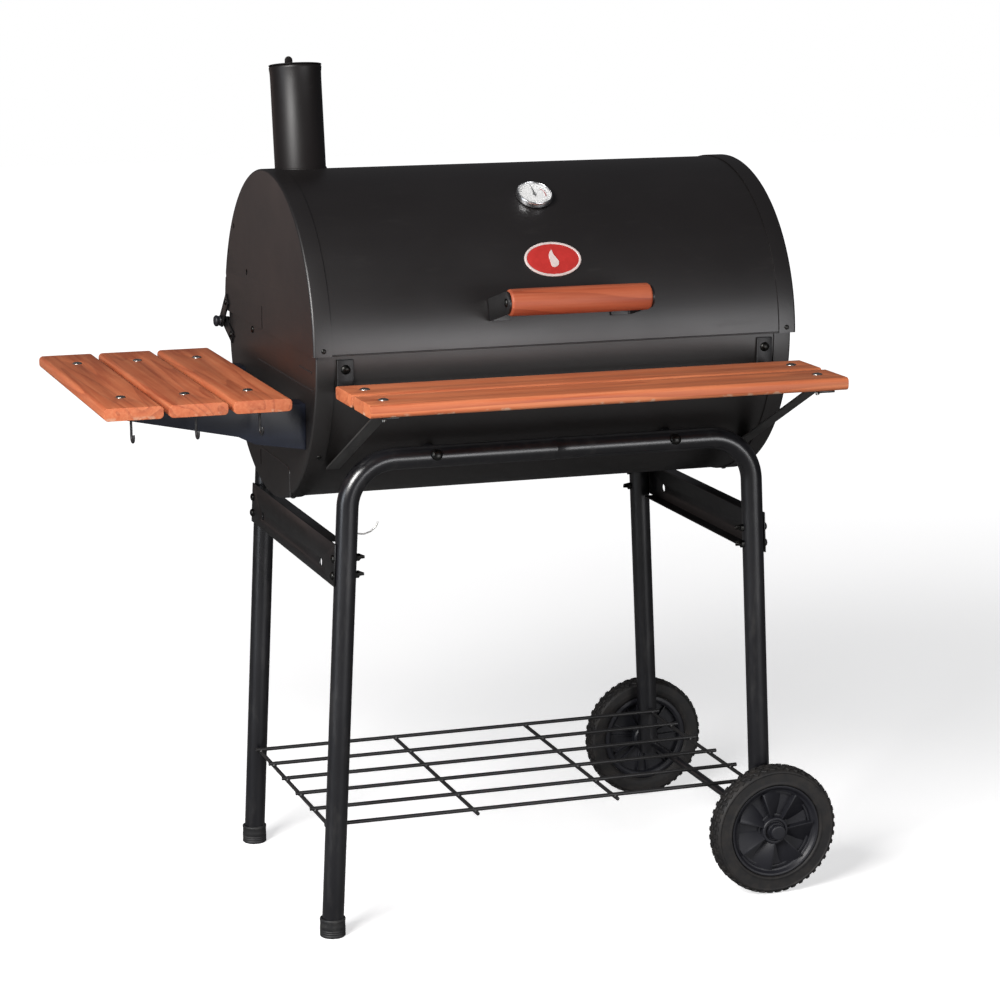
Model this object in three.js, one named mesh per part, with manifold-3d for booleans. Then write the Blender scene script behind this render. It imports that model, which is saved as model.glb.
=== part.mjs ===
// Barrel charcoal smoker on a wheeled cart, in millimetres, +Z up.
// +X runs along the barrel towards the wheels, -Y is the front with the handle and shelf.
// The finished group stands on z = 0, centred under its own bounding box.

import * as THREE from 'three';
import Module from 'manifold-3d';
import { mergeVertices } from 'three/addons/utils/BufferGeometryUtils.js';

const wasm = await Module();
wasm.setup();

// ---------------------------------------------------------------- driving dimensions

const fit = 0.3; // gap between pieces that touch
const sheet = 1.6; // painted steel sheet
const plate = 2.5; // bent brackets
const flatBar = 3; // shelf arms and struts

// Barrel: an elliptical drum lying along X, cut level into a drum and a lid.
const drumHalfLength = 365;
const drumHalfDepth = 252;
const drumHalfHeight = 240;
const axisHeight = 858; // middle of the barrel above the floor
const endFlange = 27;
const lidStep = 7; // the lid stands this far outside the drum, front, back and top
const lidOverhang = 5; // and this far beyond it at each end
const seamRise = 7; // lower edge of the lid, above the axis
const rimOverlap = 6; // the drum's rim rises this far inside the lid
const arcSteps = 30;
const slotWidth = 4;
const spitSlotY = 27;
const spitSlotHeight = 35;
const knockoutY = 66;
const knockoutRise = 34; // above the drum's bottom
const knockoutHeight = 24;

// Hinge bolts at the back corners.
const hingeStandOff = 22; // behind the drum
const hingeDrop = 14; // below the axis
const hingeBolt = 4;
const lugWidth = 20;
const lugReach = 40;
const boltHeadRadius = 8;
const boltHeadLength = 6;

// Chimney, standing square on the lid just inside its end flange and leaning back with it.
const chimneyLean = THREE.MathUtils.degToRad(8.6);
const chimneyRadius = 38;
const chimneyLength = 150; // from the lid to the rim
const capOverhang = 1.5;
const capThickness = 2;
const capPivotX = 22;
const capPinLength = 10;
const capTabHeight = 16;
const capTabWidth = 12;
const rivet = 3;

// Heat gauge, badge and handle on the lid's front, placed by angle above the axis.
const gaugeAngle = THREE.MathUtils.degToRad(57.5);
const gaugeRadius = 27;
const gaugeDepth = 10;
const gaugeBezel = 3;
const gaugeDialDepth = 4;
const gaugeLens = 1;
const gaugeStem = 4;
const gaugeStemLength = 60;
const needleLength = 19;
const needleWidth = 2;
const needleThickness = 0.8;
const needleTail = 6;
const needleBoss = 2.5;
const badgeAngle = THREE.MathUtils.degToRad(31);
const badgeWidth = 87;
const badgeHeight = 55;
const badgeThickness = 1.5;
const handleAngle = THREE.MathUtils.degToRad(14.3);
const handleReach = 83; // from the lid to the middle of the grip
const gripLength = 212;
const gripRadius = 19;
const handleStrap = 32;
const handleFoot = 32;

// Side shelf: three boards across the left end.
const boardThickness = 18;
const boardRound = 6;
const sideShelfDrop = 51; // its top, below the axis
const sideShelfGap = 33; // between the drum's end and the nearest board
const sideBoardCount = 3;
const sideBoardWidth = 84;
const sideBoardOverhang = 50; // beyond the gussets
const sideBoardSpacing = 8;
const gussetInset = 57; // inside the drum's front and back
const gussetFlange = 45;
const gussetTipInset = 42; // short of the outer edge of the boards
const gussetTipDepth = 9;
const gussetNeckReach = 99; // from the drum's end to where the lower edge drops
const gussetNeckDepth = 42;
const gussetDrop = 12;
const gussetRootDepth = 66;
const hookWire = 2;
const hookLength = 33;
const hookRadius = 9;
const hookInset = 12;
const hookShank = 0.4; // share of the hook's run that is straight
const hookTurn = Math.PI * 1.15;

// Front shelf: two boards along the drum, on bent arms with struts below.
const frontShelfDrop = 26; // its top, below the axis
const frontShelfGap = 54; // between the drum and the rear board
const frontBoardCount = 2;
const frontBoardWidth = 82;
const frontBoardOverhang = 18; // beyond the arms
const frontBoardSpacing = 7;
const armWidth = 24;
const armInset = 4; // inside the drum's end flange
const armFrontInset = 7; // behind the front edge of the boards
const armTabDrop = 3; // top of the arm's upright tab, below the lid's edge
const strutWidth = 20;
const strutHeadInset = 52; // behind the front edge of the boards
const strutFootAngle = THREE.MathUtils.degToRad(44.87); // below the axis, round the drum

// Cart: two bent tube frames, which bear on the drum's underside through short bosses.
const frameSeatAngle = THREE.MathUtils.degToRad(38.7); // below the axis, round the drum
const bossLength = 17.3;
const tubeRadius = 16;
const tubeWall = 1.6;
const tubeSides = 16;
const footInset = 20; // leg centre on the floor, inside the drum's end
const legSplay = THREE.MathUtils.degToRad(2.69);
const bendRadius = 70;
const bendSteps = 8;
const swageLength = 30;
const swageShoulder = 3.2;
const bossX = 185;
const bossRadius = 9;
const bossLift = 5;
const bossReach = 48; // inward from the tube's centre, before the drum cuts it
const footCapWall = 2.7;
const footCapHeight = 28;
const footCapSole = 4;

// Braces between the front and back legs.
const braceGap = 60; // between the drum's bottom and their middle
const braceDepth = 62;
const braceFlange = 19;
const braceOverhang = 6; // beyond the leg centres
const braceNotch = 8; // between a flange's end and the leg

// Wheels on one axle through the right legs.
const wheelRadius = 101;
const tyreWidth = 34;
const tyreSection = 29;
const tyreBead = 4; // how much narrower the tyre is at its seat, each side
const tyreSidewall = [10, 21]; // flat part of the sidewall, out from the seat
const treadCrown = 1;
const treadHalf = 11;
const rimPlate = 16;
const rimWeb = 3; // solid disc behind the blades
const rimLand = 8; // between the tyre seat and the windows
const axleRadius = 6;
const axleOffset = 4; // outside the leg's centre line
const legBelowAxle = 10; // how far the right legs run on below the axle
const wheelClearance = 3; // between the leg and the tyre
const hubRadius = 21;
const hubLand = 4; // between the hub and the windows
const bladeCount = 7;
const windowShare = 0.42; // of each blade's pitch
const runningGap = 0.4;
const hubCapRadius = 12;
const hubCapLength = 8;
const wheelSteps = 36;

// Bottom rack of welded wire.
const rackHeight = 156;
const rackWire = 3;
const rackWeld = 1; // how far crossing wires sink into each other
const rackLongWires = 6;
const rackLongSpacing = 80.6;
const rackCrossX = 112;
const rackOverhang = 9;

// Cooking grates on ledges, and the charcoal grate on its hangers.
const grateCount = 4;
const grateEndGap = 15; // between the grates and the drum's ends
const grateThickness = 10;
const grateSpacing = 3;
const grateSlots = 9;
const grateFrame = 10;
const grateSlotWidth = 9;
const grateSideGap = 3;
const ledgeDrop = 30.4; // top of the ledges, below the axis
const ledgeWidth = 13.6;
const ledgeHang = 22;
const ledgeEndGap = 2;
const ledgeWallGap = 0.5;
const fireRise = 82; // underside of the charcoal grate, above the drum's bottom
const fireEndGap = 28.4;
const fireWallGap = 19.9;
const fireThickness = 8;
const fireFrame = 14;
const fireBar = 16;
const fireSlots = 13;
const hangerGap = 2;
const hangerWidth = 30;
const hangerTopGap = 17.6; // below the ledges
const ladderWidth = 60;
const ladderDepth = 8;
const ladderTopGap = 7.6; // below the ledges

// Air vent on the right end of the drum.
const ventRise = 134; // its middle, above the drum's bottom
const ventForward = 110; // and in front of the ladder
const ventRadius = 38;
const ventHoles = 3;
const ventHoleRadius = 9;
const ventHoleCircle = 22;
const ventTabWidth = 22;
const ventTabHeight = 16;

// ---------------------------------------------------------------- sizes that follow

const lidHalfLength = drumHalfLength + lidOverhang;
const lidHalfDepth = drumHalfDepth + lidStep;
const lidHalfHeight = drumHalfHeight + lidStep;
const underEndFlange = sheet + fit; // how far a rolled sheet lies inside the end's outline
const seamHeight = axisHeight + seamRise;
const rimHeight = seamHeight + rimOverlap;
const drumSheetDepth = drumHalfDepth - underEndFlange;
const drumSheetHeight = drumHalfHeight - underEndFlange;
const lidSheetDepth = lidHalfDepth - underEndFlange;
const lidSheetHeight = lidHalfHeight - underEndFlange;
const endWall = drumHalfLength - sheet; // inner face of a drum end
const chimneyX = -(lidHalfLength - endFlange - fit - chimneyRadius);
const chimneyTop = lidHalfHeight + chimneyLength; // from the barrel axis to the rim
const hingeY = drumHalfDepth + hingeStandOff;
const hingeHeight = axisHeight - hingeDrop;
const sideShelfTop = axisHeight - sideShelfDrop;
const frontShelfTop = axisHeight - frontShelfDrop;
const drumBottom = axisHeight - drumHalfHeight;
const frameY = drumHalfDepth * Math.cos(frameSeatAngle) + bossLength + tubeRadius;
const crossHeight = axisHeight - drumHalfHeight * Math.sin(frameSeatAngle);
const braceHeight = drumBottom - braceGap;
const footSpan = drumHalfLength - footInset; // leg centre from the middle, on the floor
const legSlope = Math.tan(legSplay);
const ledgeHeight = axisHeight - ledgeDrop;
const fireHeight = drumBottom + fireRise;
const fireAngle = Math.asin((fireHeight - axisHeight) / (drumSheetHeight - sheet));
const fireHalfDepth = (drumSheetDepth - sheet) * Math.cos(fireAngle) - fireWallGap;
const hangerHeight = ledgeHeight - hangerTopGap - fireHeight;
const ladderHeight = ledgeHeight - ladderTopGap - fireHeight;
const fireHalfLength = endWall - fireEndGap;
const ventHeight = drumBottom + ventRise;
const wheelMiddle = frameY + tubeRadius + wheelClearance + tyreWidth / 2;
const axleX = footSpan - wheelRadius * legSlope + axleOffset;

// ---------------------------------------------------------------- finishes

function finish(color, roughness, metalness) {
  return () => new THREE.MeshStandardMaterial({ color, roughness, metalness });
}

const blackPaint = finish(0x1d1c1d, 0.45, 0.6);
const tubePaint = finish(0x222226, 0.35, 0.7);
const cedar = finish(0xb4562a, 0.6, 0);
const zinc = finish(0x8d8d8d, 0.4, 0.9);
const chrome = finish(0xd8d8d8, 0.15, 1);
const castIron = finish(0x2a2a2a, 0.75, 0.5);
const rubber = finish(0x17171a, 0.8, 0);
const wheelPlastic = finish(0x232327, 0.5, 0);
const clear = finish(0xe8eef0, 0.05, 0);
const redEnamel = finish(0xa31c1c, 0.3, 0.2);

// ---------------------------------------------------------------- solid helpers

function toSolid(geometry) {
  const bare = geometry.index ? geometry.toNonIndexed() : geometry.clone();
  bare.deleteAttribute('normal');
  bare.deleteAttribute('uv');
  const merged = mergeVertices(bare, 1e-4);
  const corners = [];
  for (let i = 0; i < merged.index.count; i += 3) {
    const [a, b, c] = [0, 1, 2].map((k) => merged.index.getX(i + k));
    if (a !== b && b !== c && c !== a) corners.push(a, b, c);
  }
  return new wasm.Manifold(new wasm.Mesh({
    numProp: 3,
    vertProperties: new Float32Array(merged.attributes.position.array),
    triVerts: new Uint32Array(corners),
  }));
}

function toGeometry(solid) {
  const mesh = solid.getMesh();
  const geometry = new THREE.BufferGeometry();
  geometry.setAttribute('position', new THREE.BufferAttribute(new Float32Array(mesh.vertProperties), 3));
  geometry.setIndex(new THREE.BufferAttribute(new Uint32Array(mesh.triVerts), 1));
  geometry.computeVertexNormals();
  return geometry;
}

function join(...geometries) {
  return toGeometry(geometries.map(toSolid).reduce((whole, piece) => whole.add(piece)));
}

function cut(geometry, ...tools) {
  return toGeometry(tools.map(toSolid).reduce((left, tool) => left.subtract(tool), toSolid(geometry)));
}

function block(x0, x1, y0, y1, z0, z1) {
  const box = new THREE.BoxGeometry(Math.abs(x1 - x0), Math.abs(y1 - y0), Math.abs(z1 - z0));
  return box.translate((x0 + x1) / 2, (y0 + y1) / 2, (z0 + z1) / 2);
}

function rod(from, to, radius, sides = 12) {
  const start = new THREE.Vector3(...from);
  const run = new THREE.Vector3(...to).sub(start);
  const upright = new THREE.Vector3(0, 1, 0);
  const turn = new THREE.Quaternion().setFromUnitVectors(upright, run.clone().normalize());
  const cylinder = new THREE.CylinderGeometry(radius, radius, run.length(), sides);
  const middle = start.clone().addScaledVector(run, 0.5);
  return cylinder.applyQuaternion(turn).translate(middle.x, middle.y, middle.z);
}

function extrudeZ(shape, z0, z1, curveSegments = 12) {
  const settings = { depth: z1 - z0, bevelEnabled: false, curveSegments };
  return new THREE.ExtrudeGeometry(shape, settings).translate(0, 0, z0);
}

// A (y, z) outline carried from x0 to x1.
function extrudeX(shape, x0, x1, curveSegments = 12) {
  const turn = new THREE.Matrix4().makeBasis(
    new THREE.Vector3(0, 1, 0),
    new THREE.Vector3(0, 0, 1),
    new THREE.Vector3(1, 0, 0),
  );
  return extrudeZ(shape, x0, x1, curveSegments).applyMatrix4(turn);
}

// An (x, z) outline carried from y0 to y1.
function extrudeY(shape, y0, y1, curveSegments = 12) {
  const turn = new THREE.Matrix4().makeBasis(
    new THREE.Vector3(1, 0, 0),
    new THREE.Vector3(0, 0, 1),
    new THREE.Vector3(0, -1, 0),
  );
  return extrudeZ(shape, -y1, -y0, curveSegments).applyMatrix4(turn);
}

function roundShape(radius, sides, bore = 0) {
  const ring = (r) => Array.from({ length: sides }, (_, i) => {
    const angle = (2 * Math.PI * i) / sides;
    return new THREE.Vector2(r * Math.cos(angle), r * Math.sin(angle));
  });
  const shape = new THREE.Shape(ring(radius));
  if (bore > 0) shape.holes.push(new THREE.Path(ring(bore)));
  return shape;
}

function outline(points) {
  return new THREE.Shape(points.map(([u, v]) => new THREE.Vector2(u, v)));
}

// A turned solid about the local Z axis from (radius, height) points.
function turnedZ(profile, steps = 24) {
  const points = profile.map(([r, h]) => new THREE.Vector2(r, h));
  return new THREE.LatheGeometry(points, steps).rotateX(Math.PI / 2);
}

const smoker = new THREE.Group();

function part(name, geometry, finish, parent = smoker) {
  const mesh = new THREE.Mesh(geometry, finish());
  mesh.name = name;
  parent.add(mesh);
  return mesh;
}

// ---------------------------------------------------------------- barrel

function seamAngle(height, halfHeight) {
  return Math.asin((height - axisHeight) / halfHeight);
}

function arc(halfDepth, halfHeight, from, to) {
  return Array.from({ length: arcSteps + 1 }, (_, i) => {
    const angle = from + ((to - from) * i) / arcSteps;
    return new THREE.Vector2(halfDepth * Math.cos(angle), axisHeight + halfHeight * Math.sin(angle));
  });
}

function shellShape(halfDepth, halfHeight, from, to) {
  const inner = arc(halfDepth - sheet, halfHeight - sheet, from, to).reverse();
  return new THREE.Shape([...arc(halfDepth, halfHeight, from, to), ...inner]);
}

// The full oval, with its corners at the same angles as a shell's between from and to.
function wholeOval(halfDepth, halfHeight, from, to) {
  const back = to > from ? from + 2 * Math.PI : from - 2 * Math.PI;
  const rest = arc(halfDepth, halfHeight, to, back).slice(1, -1);
  return new THREE.Shape([...arc(halfDepth, halfHeight, from, to), ...rest]);
}

const lidFrom = seamAngle(seamHeight, lidHalfHeight);
const lidTo = Math.PI - lidFrom;
const drumFrom = seamAngle(rimHeight, drumHalfHeight);
const drumTo = -Math.PI - drumFrom;

function rolledSheet(halfDepth, halfHeight, halfLength, from, to) {
  const end = halfLength - sheet - fit;
  return extrudeX(shellShape(halfDepth, halfHeight, from, to), -end, end);
}

// A pressed end: a flat plate with a flange turned over the rolled sheet.
function pressedEnd(side, halfDepth, halfHeight, halfLength, from, to) {
  const face = new THREE.Shape(arc(halfDepth, halfHeight, from, to));
  const flange = shellShape(halfDepth, halfHeight, from, to);
  const spans = (near, far) => [side * near, side * far].sort((a, b) => a - b);
  return join(
    extrudeX(face, ...spans(halfLength - sheet, halfLength)),
    extrudeX(flange, ...spans(halfLength - endFlange, halfLength)),
  );
}

const stackFrame = new THREE.Matrix4().makeRotationX(-chimneyLean).setPosition(chimneyX, 0, axisHeight);

// A place on the lid's outside, with local Z along the outward normal.
function lidFrame(angle) {
  const normal = Math.atan2(Math.sin(angle) / lidSheetHeight, Math.cos(angle) / lidSheetDepth);
  return new THREE.Matrix4().makeRotationX(Math.PI / 2 - normal).setPosition(
    0,
    -lidSheetDepth * Math.cos(angle),
    axisHeight + lidSheetHeight * Math.sin(angle),
  );
}

function groupAt(matrix, parent = smoker) {
  const group = new THREE.Group();
  matrix.decompose(group.position, group.quaternion, group.scale);
  parent.add(group);
  return group;
}

const smokeHole = rod([0, 0, lidHalfHeight / 2], [0, 0, lidHalfHeight * 1.2], chimneyRadius - sheet, 24);
const stemHole = rod([0, 0, -gaugeDepth], [0, 0, gaugeDepth], gaugeStem + fit);
part(
  'lid_shell',
  cut(
    rolledSheet(lidSheetDepth, lidSheetHeight, lidHalfLength, lidFrom, lidTo),
    smokeHole.applyMatrix4(stackFrame),
    stemHole.applyMatrix4(lidFrame(gaugeAngle)),
  ),
  blackPaint,
);
const drumSheet = rolledSheet(drumSheetDepth, drumSheetHeight, drumHalfLength, drumFrom, drumTo);
part('drum_shell', drumSheet, blackPaint);

const lidEndLeft = pressedEnd(-1, lidHalfDepth, lidHalfHeight, lidHalfLength, lidFrom, lidTo);
const lidEndRight = pressedEnd(1, lidHalfDepth, lidHalfHeight, lidHalfLength, lidFrom, lidTo);
function spitNotch(side) {
  const half = slotWidth / 2;
  const face = side * lidHalfLength;
  const top = seamHeight + spitSlotHeight;
  const low = seamHeight - 1;
  return block(face - endFlange, face + endFlange, spitSlotY - half, spitSlotY + half, low, top);
}
part('lid_end_left', cut(lidEndLeft, spitNotch(-1)), blackPaint);
part('lid_end_right', cut(lidEndRight, spitNotch(1)), blackPaint);

function knockout() {
  const half = slotWidth / 2;
  const face = -drumHalfLength;
  const low = drumBottom + knockoutRise;
  return block(face - 1, face + endFlange, knockoutY - half, knockoutY + half, low, low + knockoutHeight);
}
function ventPorts() {
  return Array.from({ length: ventHoles }, (_, i) => {
    const angle = (2 * Math.PI * i) / ventHoles;
    const y = ventHoleCircle * Math.cos(angle) - ventForward;
    const z = ventHeight + ventHoleCircle * Math.sin(angle);
    const [inside, outside] = [drumHalfLength - endFlange, drumHalfLength + endFlange];
    return rod([inside, y, z], [outside, y, z], ventHoleRadius, 16);
  });
}
const pivotHole = rod(
  [drumHalfLength - endFlange, -ventForward, ventHeight],
  [drumHalfLength + endFlange, -ventForward, ventHeight],
  rivet + fit,
);
const drumEndLeft = pressedEnd(-1, drumHalfDepth, drumHalfHeight, drumHalfLength, drumFrom, drumTo);
const drumEndRight = pressedEnd(1, drumHalfDepth, drumHalfHeight, drumHalfLength, drumFrom, drumTo);
part('drum_end_left', cut(drumEndLeft, knockout()), blackPaint);
part('drum_end_right', cut(drumEndRight, ...ventPorts(), pivotHole), blackPaint);

// ---------------------------------------------------------------- hinges

// A strap with a round eye on the hinge bolt, running to a point on an end plate.
function lug(toY, toHeight) {
  const run = new THREE.Vector2(toY - hingeY, toHeight - hingeHeight);
  const along = Math.atan2(run.y, run.x);
  const half = lugWidth / 2;
  const eyeSteps = 10;
  const eye = Array.from({ length: eyeSteps + 1 }, (_, i) => {
    const angle = along + Math.PI / 2 + (Math.PI * i) / eyeSteps;
    return [hingeY + half * Math.cos(angle), hingeHeight + half * Math.sin(angle)];
  });
  const side = new THREE.Vector2(-Math.sin(along), Math.cos(along)).multiplyScalar(half);
  const shape = outline([[toY + side.x, toHeight + side.y], ...eye, [toY - side.x, toHeight - side.y]]);
  const hole = Array.from({ length: 12 }, (_, i) => {
    const angle = (-2 * Math.PI * i) / 12;
    const r = hingeBolt + fit;
    return new THREE.Vector2(hingeY + r * Math.cos(angle), hingeHeight + r * Math.sin(angle));
  });
  shape.holes.push(new THREE.Path(hole));
  return shape;
}

const lidLugOuter = lidHalfLength + fit + plate;
const drumLugOuter = drumHalfLength + fit + plate;
for (const [side, label] of [[-1, 'left'], [1, 'right']]) {
  const spans = (near, far) => [side * near, side * far].sort((a, b) => a - b);
  const lidLug = lug(hingeY - lugReach, hingeHeight + lugReach);
  const drumLug = lug(hingeY - lugReach - lugWidth / 2, hingeHeight - lugWidth);
  const lidSpan = spans(lidHalfLength + fit, lidLugOuter);
  const drumSpan = spans(drumHalfLength + fit, drumLugOuter);
  part(`lid_hinge_lug_${label}`, extrudeX(lidLug, ...lidSpan), blackPaint);
  part(`drum_hinge_lug_${label}`, extrudeX(drumLug, ...drumSpan), blackPaint);
  const head = lidLugOuter + fit;
  const nut = drumHalfLength;
  const pin = [
    [0, nut - boltHeadLength],
    [boltHeadRadius, nut - boltHeadLength],
    [boltHeadRadius, nut],
    [hingeBolt, nut],
    [hingeBolt, head],
    [boltHeadRadius, head],
    [boltHeadRadius, head + boltHeadLength],
    [0, head + boltHeadLength],
  ];
  const bolt = turnedZ(pin, 12).rotateY(side * Math.PI / 2).translate(0, hingeY, hingeHeight);
  part(`hinge_bolt_${label}`, bolt, zinc);
}

// ---------------------------------------------------------------- chimney and damper cap

const lidOutside = extrudeX(
  wholeOval(lidSheetDepth + fit, lidSheetHeight + fit, lidFrom, lidTo),
  -lidHalfLength,
  lidHalfLength,
);
const stack = groupAt(stackFrame);
const chimneyRing = roundShape(chimneyRadius, 24, chimneyRadius - sheet);
const chimneyWall = extrudeZ(chimneyRing, lidHalfHeight / 2, chimneyTop);
const capLug = block(
  capPivotX - capPinLength / 2 - rivet,
  chimneyRadius - sheet / 2,
  -capPinLength / 2,
  capPinLength / 2,
  chimneyTop - flatBar,
  chimneyTop,
);
const capPinLow = chimneyTop - capPinLength;
const capPinHole = rod([capPivotX, 0, capPinLow], [capPivotX, 0, chimneyTop + 1], rivet + fit);
const lidInStack = lidOutside.clone().applyMatrix4(stackFrame.clone().invert());
part('chimney', cut(join(chimneyWall, capLug), capPinHole, lidInStack), blackPaint, stack);

const capBottom = chimneyTop + fit;
const capTop = capBottom + capThickness;
const capRadius = chimneyRadius + capOverhang;
const capDisc = extrudeZ(roundShape(capRadius, 24), capBottom, capTop);
const capTab = block(
  -capTabWidth / 2,
  capTabWidth / 2,
  capRadius - 3 * capThickness,
  capRadius - 2 * capThickness,
  capBottom,
  capTop + capTabHeight,
);
const capStub = rod([capPivotX, 0, capPinLow + fit], [capPivotX, 0, capTop + rivet], rivet);
part('damper_cap', join(capDisc, capTab, capStub), blackPaint, stack);

// ---------------------------------------------------------------- heat gauge and badge

const gauge = groupAt(lidFrame(gaugeAngle));
const gaugeBase = fit;
const gaugeTop = gaugeBase + gaugeDepth;
const dialFace = gaugeTop - gaugeDialDepth;
const dialRadius = gaugeRadius - gaugeBezel;
part('gauge_case', turnedZ([
  [0, -gaugeStemLength],
  [gaugeStem, -gaugeStemLength],
  [gaugeStem, gaugeBase],
  [gaugeRadius, gaugeBase],
  [gaugeRadius, gaugeTop - gaugeBezel / 2],
  [gaugeRadius - gaugeBezel / 2, gaugeTop],
  [dialRadius, gaugeTop],
  [dialRadius, dialFace],
  [0, dialFace],
]), chrome, gauge);

const needleBottom = dialFace + fit;
const needleTop = needleBottom + needleThickness;
const pointer = outline([[-needleWidth, -needleTail], [needleWidth, -needleTail], [0, needleLength]]);
part('gauge_needle', join(
  extrudeZ(pointer, needleBottom, needleTop),
  rod([0, 0, needleBottom], [0, 0, needleTop + needleThickness / 2], needleBoss),
), redEnamel, gauge);
const lensTop = gaugeTop - gaugeLens / 2;
const lensDisc = extrudeZ(roundShape(dialRadius - fit, 24), lensTop - gaugeLens, lensTop);
part('gauge_lens', lensDisc, clear, gauge);

const badge = groupAt(lidFrame(badgeAngle));
const badgeOval = new THREE.Shape();
badgeOval.absellipse(0, 0, badgeWidth / 2, badgeHeight / 2, 0, 2 * Math.PI);
part('badge_plate', extrudeZ(badgeOval, fit, fit + badgeThickness, 12), redEnamel, badge);

// ---------------------------------------------------------------- lid handle

const handle = groupAt(lidFrame(handleAngle));
const gripEnd = gripLength / 2;
const grip = rod([-gripEnd, 0, handleReach], [gripEnd, 0, handleReach], gripRadius, 24);
part('handle_grip', grip, cedar, handle);
for (const [side, label] of [[-1, 'left'], [1, 'right']]) {
  const inner = gripEnd + fit;
  const outer = inner + flatBar;
  const tip = handleReach + handleStrap / 2;
  const strap = outline([
    [side * (outer - handleFoot), fit],
    [side * outer, fit],
    [side * outer, tip],
    [side * inner, tip],
    [side * inner, fit + flatBar],
    [side * (outer - handleFoot), fit + flatBar],
  ]);
  part(`handle_bracket_${label}`, extrudeY(strap, -handleStrap / 2, handleStrap / 2), blackPaint, handle);
}

// ---------------------------------------------------------------- shelf boards

// A board's section with rounded long edges, from u0 to u1 across and hanging below the top.
function boardSection(u0, u1, top) {
  const bottom = top - boardThickness;
  const r = boardRound;
  const shape = new THREE.Shape();
  shape.moveTo(u0 + r, bottom);
  shape.lineTo(u1 - r, bottom);
  shape.absarc(u1 - r, bottom + r, r, -Math.PI / 2, 0);
  shape.absarc(u1 - r, top - r, r, 0, Math.PI / 2);
  shape.lineTo(u0 + r, top);
  shape.absarc(u0 + r, top - r, r, Math.PI / 2, Math.PI);
  shape.absarc(u0 + r, bottom + r, r, Math.PI, 1.5 * Math.PI);
  return shape;
}

const boardCurve = 2;
const sidePitch = sideBoardWidth + sideBoardSpacing;
const sideOuter = drumHalfLength + sideShelfGap + sideBoardCount * sidePitch - sideBoardSpacing;
const gussetY = drumHalfDepth - gussetInset;
const sideHalf = gussetY + sideBoardOverhang;
for (let i = 0; i < sideBoardCount; i += 1) {
  const x0 = -sideOuter + i * sidePitch;
  const section = boardSection(x0, x0 + sideBoardWidth, sideShelfTop);
  part(`side_shelf_board_${i + 1}`, extrudeY(section, -sideHalf, sideHalf, boardCurve), cedar);
}

const frontPitch = frontBoardWidth + frontBoardSpacing;
const armX = drumHalfLength - endFlange - armInset - armWidth / 2;
const frontHalf = armX + armWidth / 2 + frontBoardOverhang;
for (let i = 0; i < frontBoardCount; i += 1) {
  const y1 = -drumHalfDepth - frontShelfGap - i * frontPitch;
  const section = boardSection(y1 - frontBoardWidth, y1, frontShelfTop);
  part(`front_shelf_board_${i + 1}`, extrudeX(section, -frontHalf, frontHalf, boardCurve), cedar);
}

// ---------------------------------------------------------------- side shelf gussets and hooks

const gussetTop = sideShelfTop - boardThickness - fit;
const gussetRoot = -drumHalfLength - fit;
const gussetTip = -sideOuter + gussetTipInset;
for (const [side, label] of [[-1, 'front'], [1, 'back']]) {
  const web = outline([
    [gussetRoot, gussetTop],
    [gussetTip, gussetTop],
    [gussetTip, gussetTop - gussetTipDepth],
    [gussetRoot - gussetNeckReach, gussetTop - gussetNeckDepth],
    [gussetRoot - gussetNeckReach + 2 * gussetDrop, gussetTop - gussetNeckDepth - gussetDrop],
    [gussetRoot, gussetTop - gussetRootDepth],
  ]);
  const faces = (near, far) => [side * near, side * far].sort((a, b) => a - b);
  const [y0, y1] = faces(gussetY - plate, gussetY);
  const [f0, f1] = faces(gussetY - gussetFlange, gussetY);
  const topFlange = block(gussetTip, gussetRoot, f0, f1, gussetTop - plate, gussetTop);
  const gussetLow = gussetTop - gussetRootDepth;
  const rootFlange = block(gussetRoot - plate, gussetRoot, f0, f1, gussetLow, gussetTop);
  part(`side_shelf_gusset_${label}`, join(extrudeY(web, y0, y1), topFlange, rootFlange), blackPaint);
}

// A screw hook: a straight shank that turns up into an open J.
class HookPath extends THREE.Curve {
  getPoint(t) {
    if (t < hookShank) return new THREE.Vector3(0, 0, (-t / hookShank) * (hookLength - hookRadius));
    const angle = ((t - hookShank) / (1 - hookShank)) * hookTurn;
    return new THREE.Vector3(
      0,
      -hookRadius * (1 - Math.cos(angle)),
      -(hookLength - hookRadius) - hookRadius * Math.sin(angle),
    );
  }
}
for (let i = 0; i < sideBoardCount; i += 1) {
  const hook = new THREE.ExtrudeGeometry(roundShape(hookWire, 8), {
    steps: 12,
    bevelEnabled: false,
    extrudePath: new HookPath(),
  });
  const x = -sideOuter + i * sidePitch + sideBoardWidth / 2;
  hook.translate(x, -sideHalf + hookInset + hookRadius, sideShelfTop - boardThickness - fit);
  part(`tool_hook_${i + 1}`, hook, zinc);
}

// ---------------------------------------------------------------- front shelf arms and struts

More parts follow.
